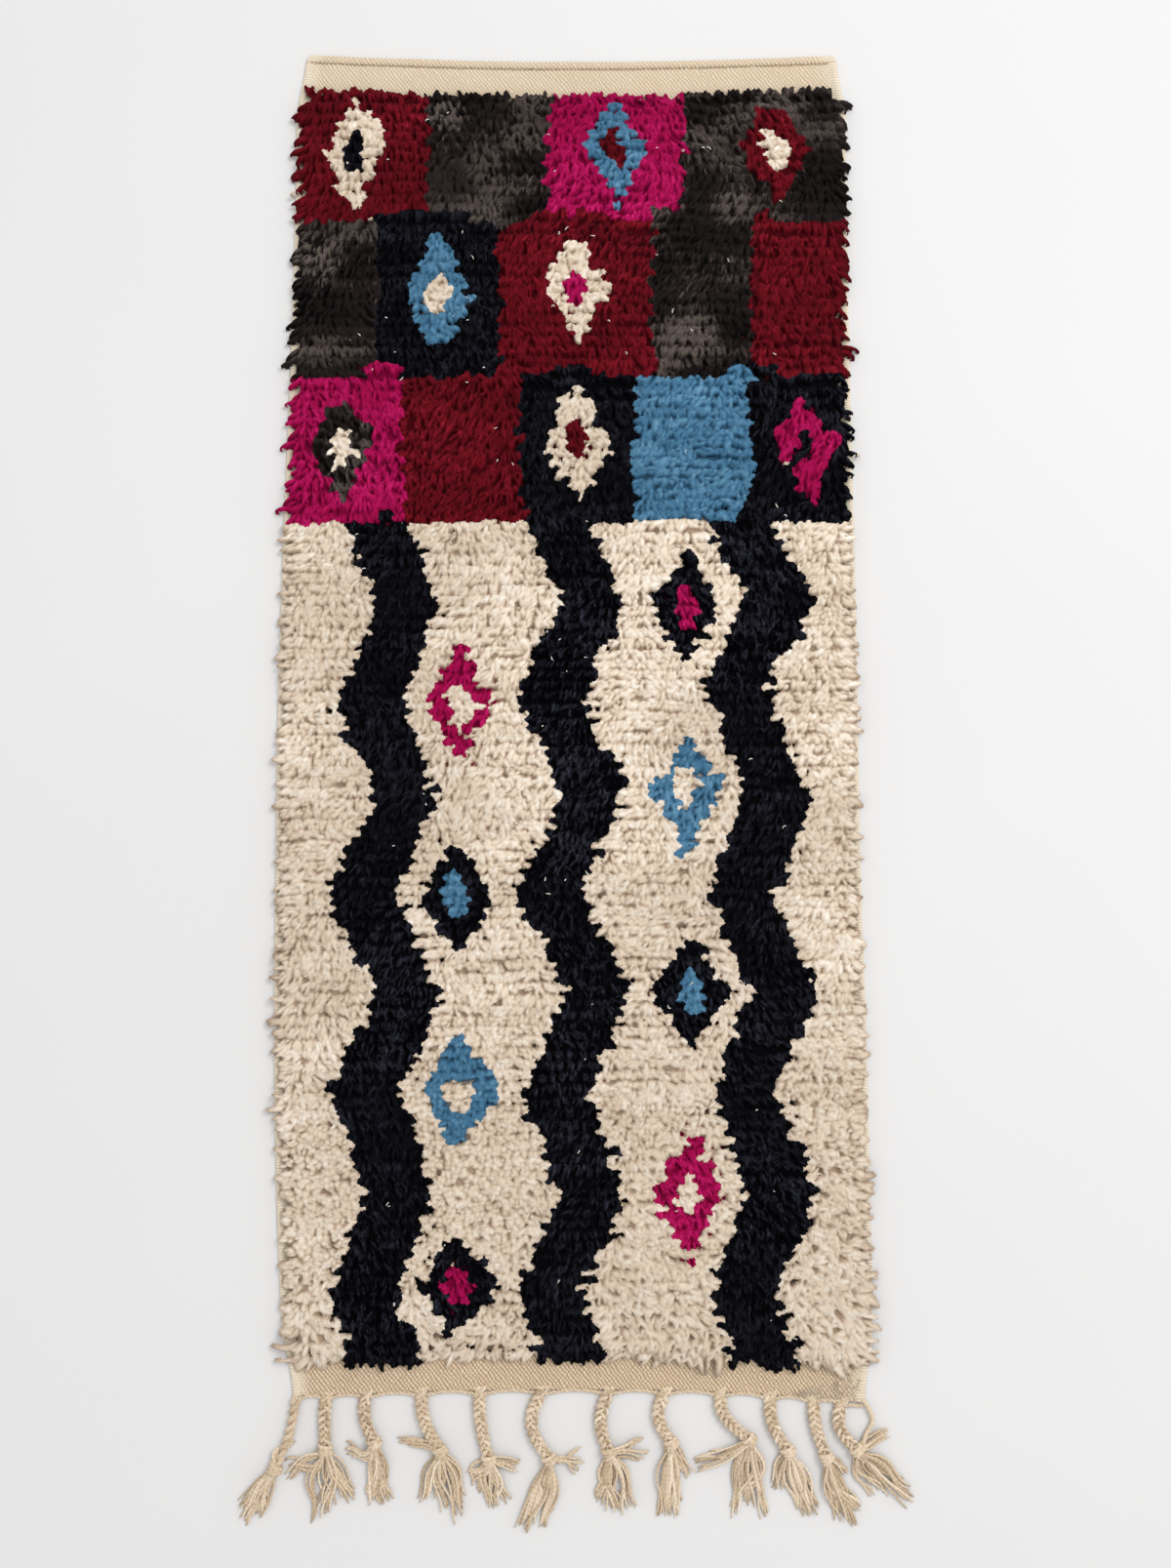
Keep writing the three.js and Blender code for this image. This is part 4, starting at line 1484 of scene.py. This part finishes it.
@dataclass
class Studio:
    """A pale floor, soft light from the upper right, and a camera almost straight above."""

    distance: float = 2000.0
    tilt_deg: float = 4.0
    focal_px: float = 1575.0
    frame_px: tuple[int, int] = (1200, 1607)
    sensor_mm: float = 36.0
    aim: tuple[float, float] = (21.0, 770.0)
    floor_colours: tuple[str, str] = ("d8d7d7", "dcdcdc")
    floor_cloud_m: float = 1 / 1.5
    key_place: tuple[float, ...] = (2.5, 1.9, 4.3)
    key_turn_deg: tuple[float, ...] = (-24, 29, 0)
    key_size: float = 2.4
    key_power: float = 122.0
    surround: float = 0.905

    def build_floor(self) -> None:
        """Lays the floor just under the rug."""
        bpy.ops.object.select_all(action="DESELECT")
        bpy.ops.mesh.primitive_plane_add(size=14, location=(0, 0, -0.0004))
        floor = bpy.context.object
        floor.name = "studio_floor"
        made = Shading("matt_white_board")
        cloud = made.noise(made.node("TexCoord", {}, "Object"), self.floor_cloud_m, 2.0)
        pale = made.mix(cloud, *(linear(colour) for colour in self.floor_colours))
        floor.data.materials.append(made.finish(pale, {"Roughness": 0.9, "Specular IOR Level": 0.1}))

    def build_lights(self) -> None:
        """Hangs one large soft light over an even bright surround."""
        bpy.ops.object.light_add(type="AREA", location=self.key_place)
        key = bpy.context.object
        key.name = "soft_key"
        key.data.shape, key.data.size = "DISK", self.key_size
        key.data.energy = self.key_power
        key.rotation_euler = [math.radians(turn) for turn in self.key_turn_deg]
        world = bpy.data.worlds.new("bright_room")
        bpy.context.scene.world = world
        world.use_nodes = True
        background = world.node_tree.nodes["Background"]
        background.inputs["Color"].default_value = (1.0, 0.995, 0.99, 1.0)
        background.inputs["Strength"].default_value = self.surround

    def build_camera(self) -> None:
        """Sets the camera over the rug, at the photograph's angle."""
        tilt = math.radians(self.tilt_deg)
        aim = np.array([*self.aim, 0.0]) + DRAWING_SHIFT
        place = (aim - self.distance * np.array([0.0, math.sin(tilt), -math.cos(tilt)])) * MM
        bpy.ops.object.camera_add(location=tuple(place), rotation=(tilt, 0, 0))
        camera = bpy.context.object
        camera.name = "camera"
        camera.data.sensor_width = self.sensor_mm
        camera.data.lens = self.sensor_mm * self.focal_px / max(self.frame_px)
        camera.data.dof.use_dof = False
        bpy.context.scene.camera = camera
        bpy.context.scene.view_settings.view_transform = "Standard"


def main() -> None:
    """Builds the rug piece by piece and notes its size."""
    logging.basicConfig(level=logging.INFO, format="%(name)s: %(message)s")
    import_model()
    outline = Outline()
    ground = GroundCloth(outline)
    cloth = ground.build()
    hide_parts("rug")
    pile = Pile(outline)
    others = [ground.stitches(), pile.build(), *PileSkin(pile).build()]
    others += [*Fringe(outline).build(), LooseFibres(outline).build()]
    for piece in (cloth, *others):
        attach(piece, BODY)
        LOG.info("%s: %d triangles", piece.name, sum(len(p.vertices) - 2 for p in piece.data.polygons))
    studio = Studio()
    studio.build_floor()
    studio.build_lights()
    studio.build_camera()
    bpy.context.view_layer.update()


if __name__ == "__main__":
    main()
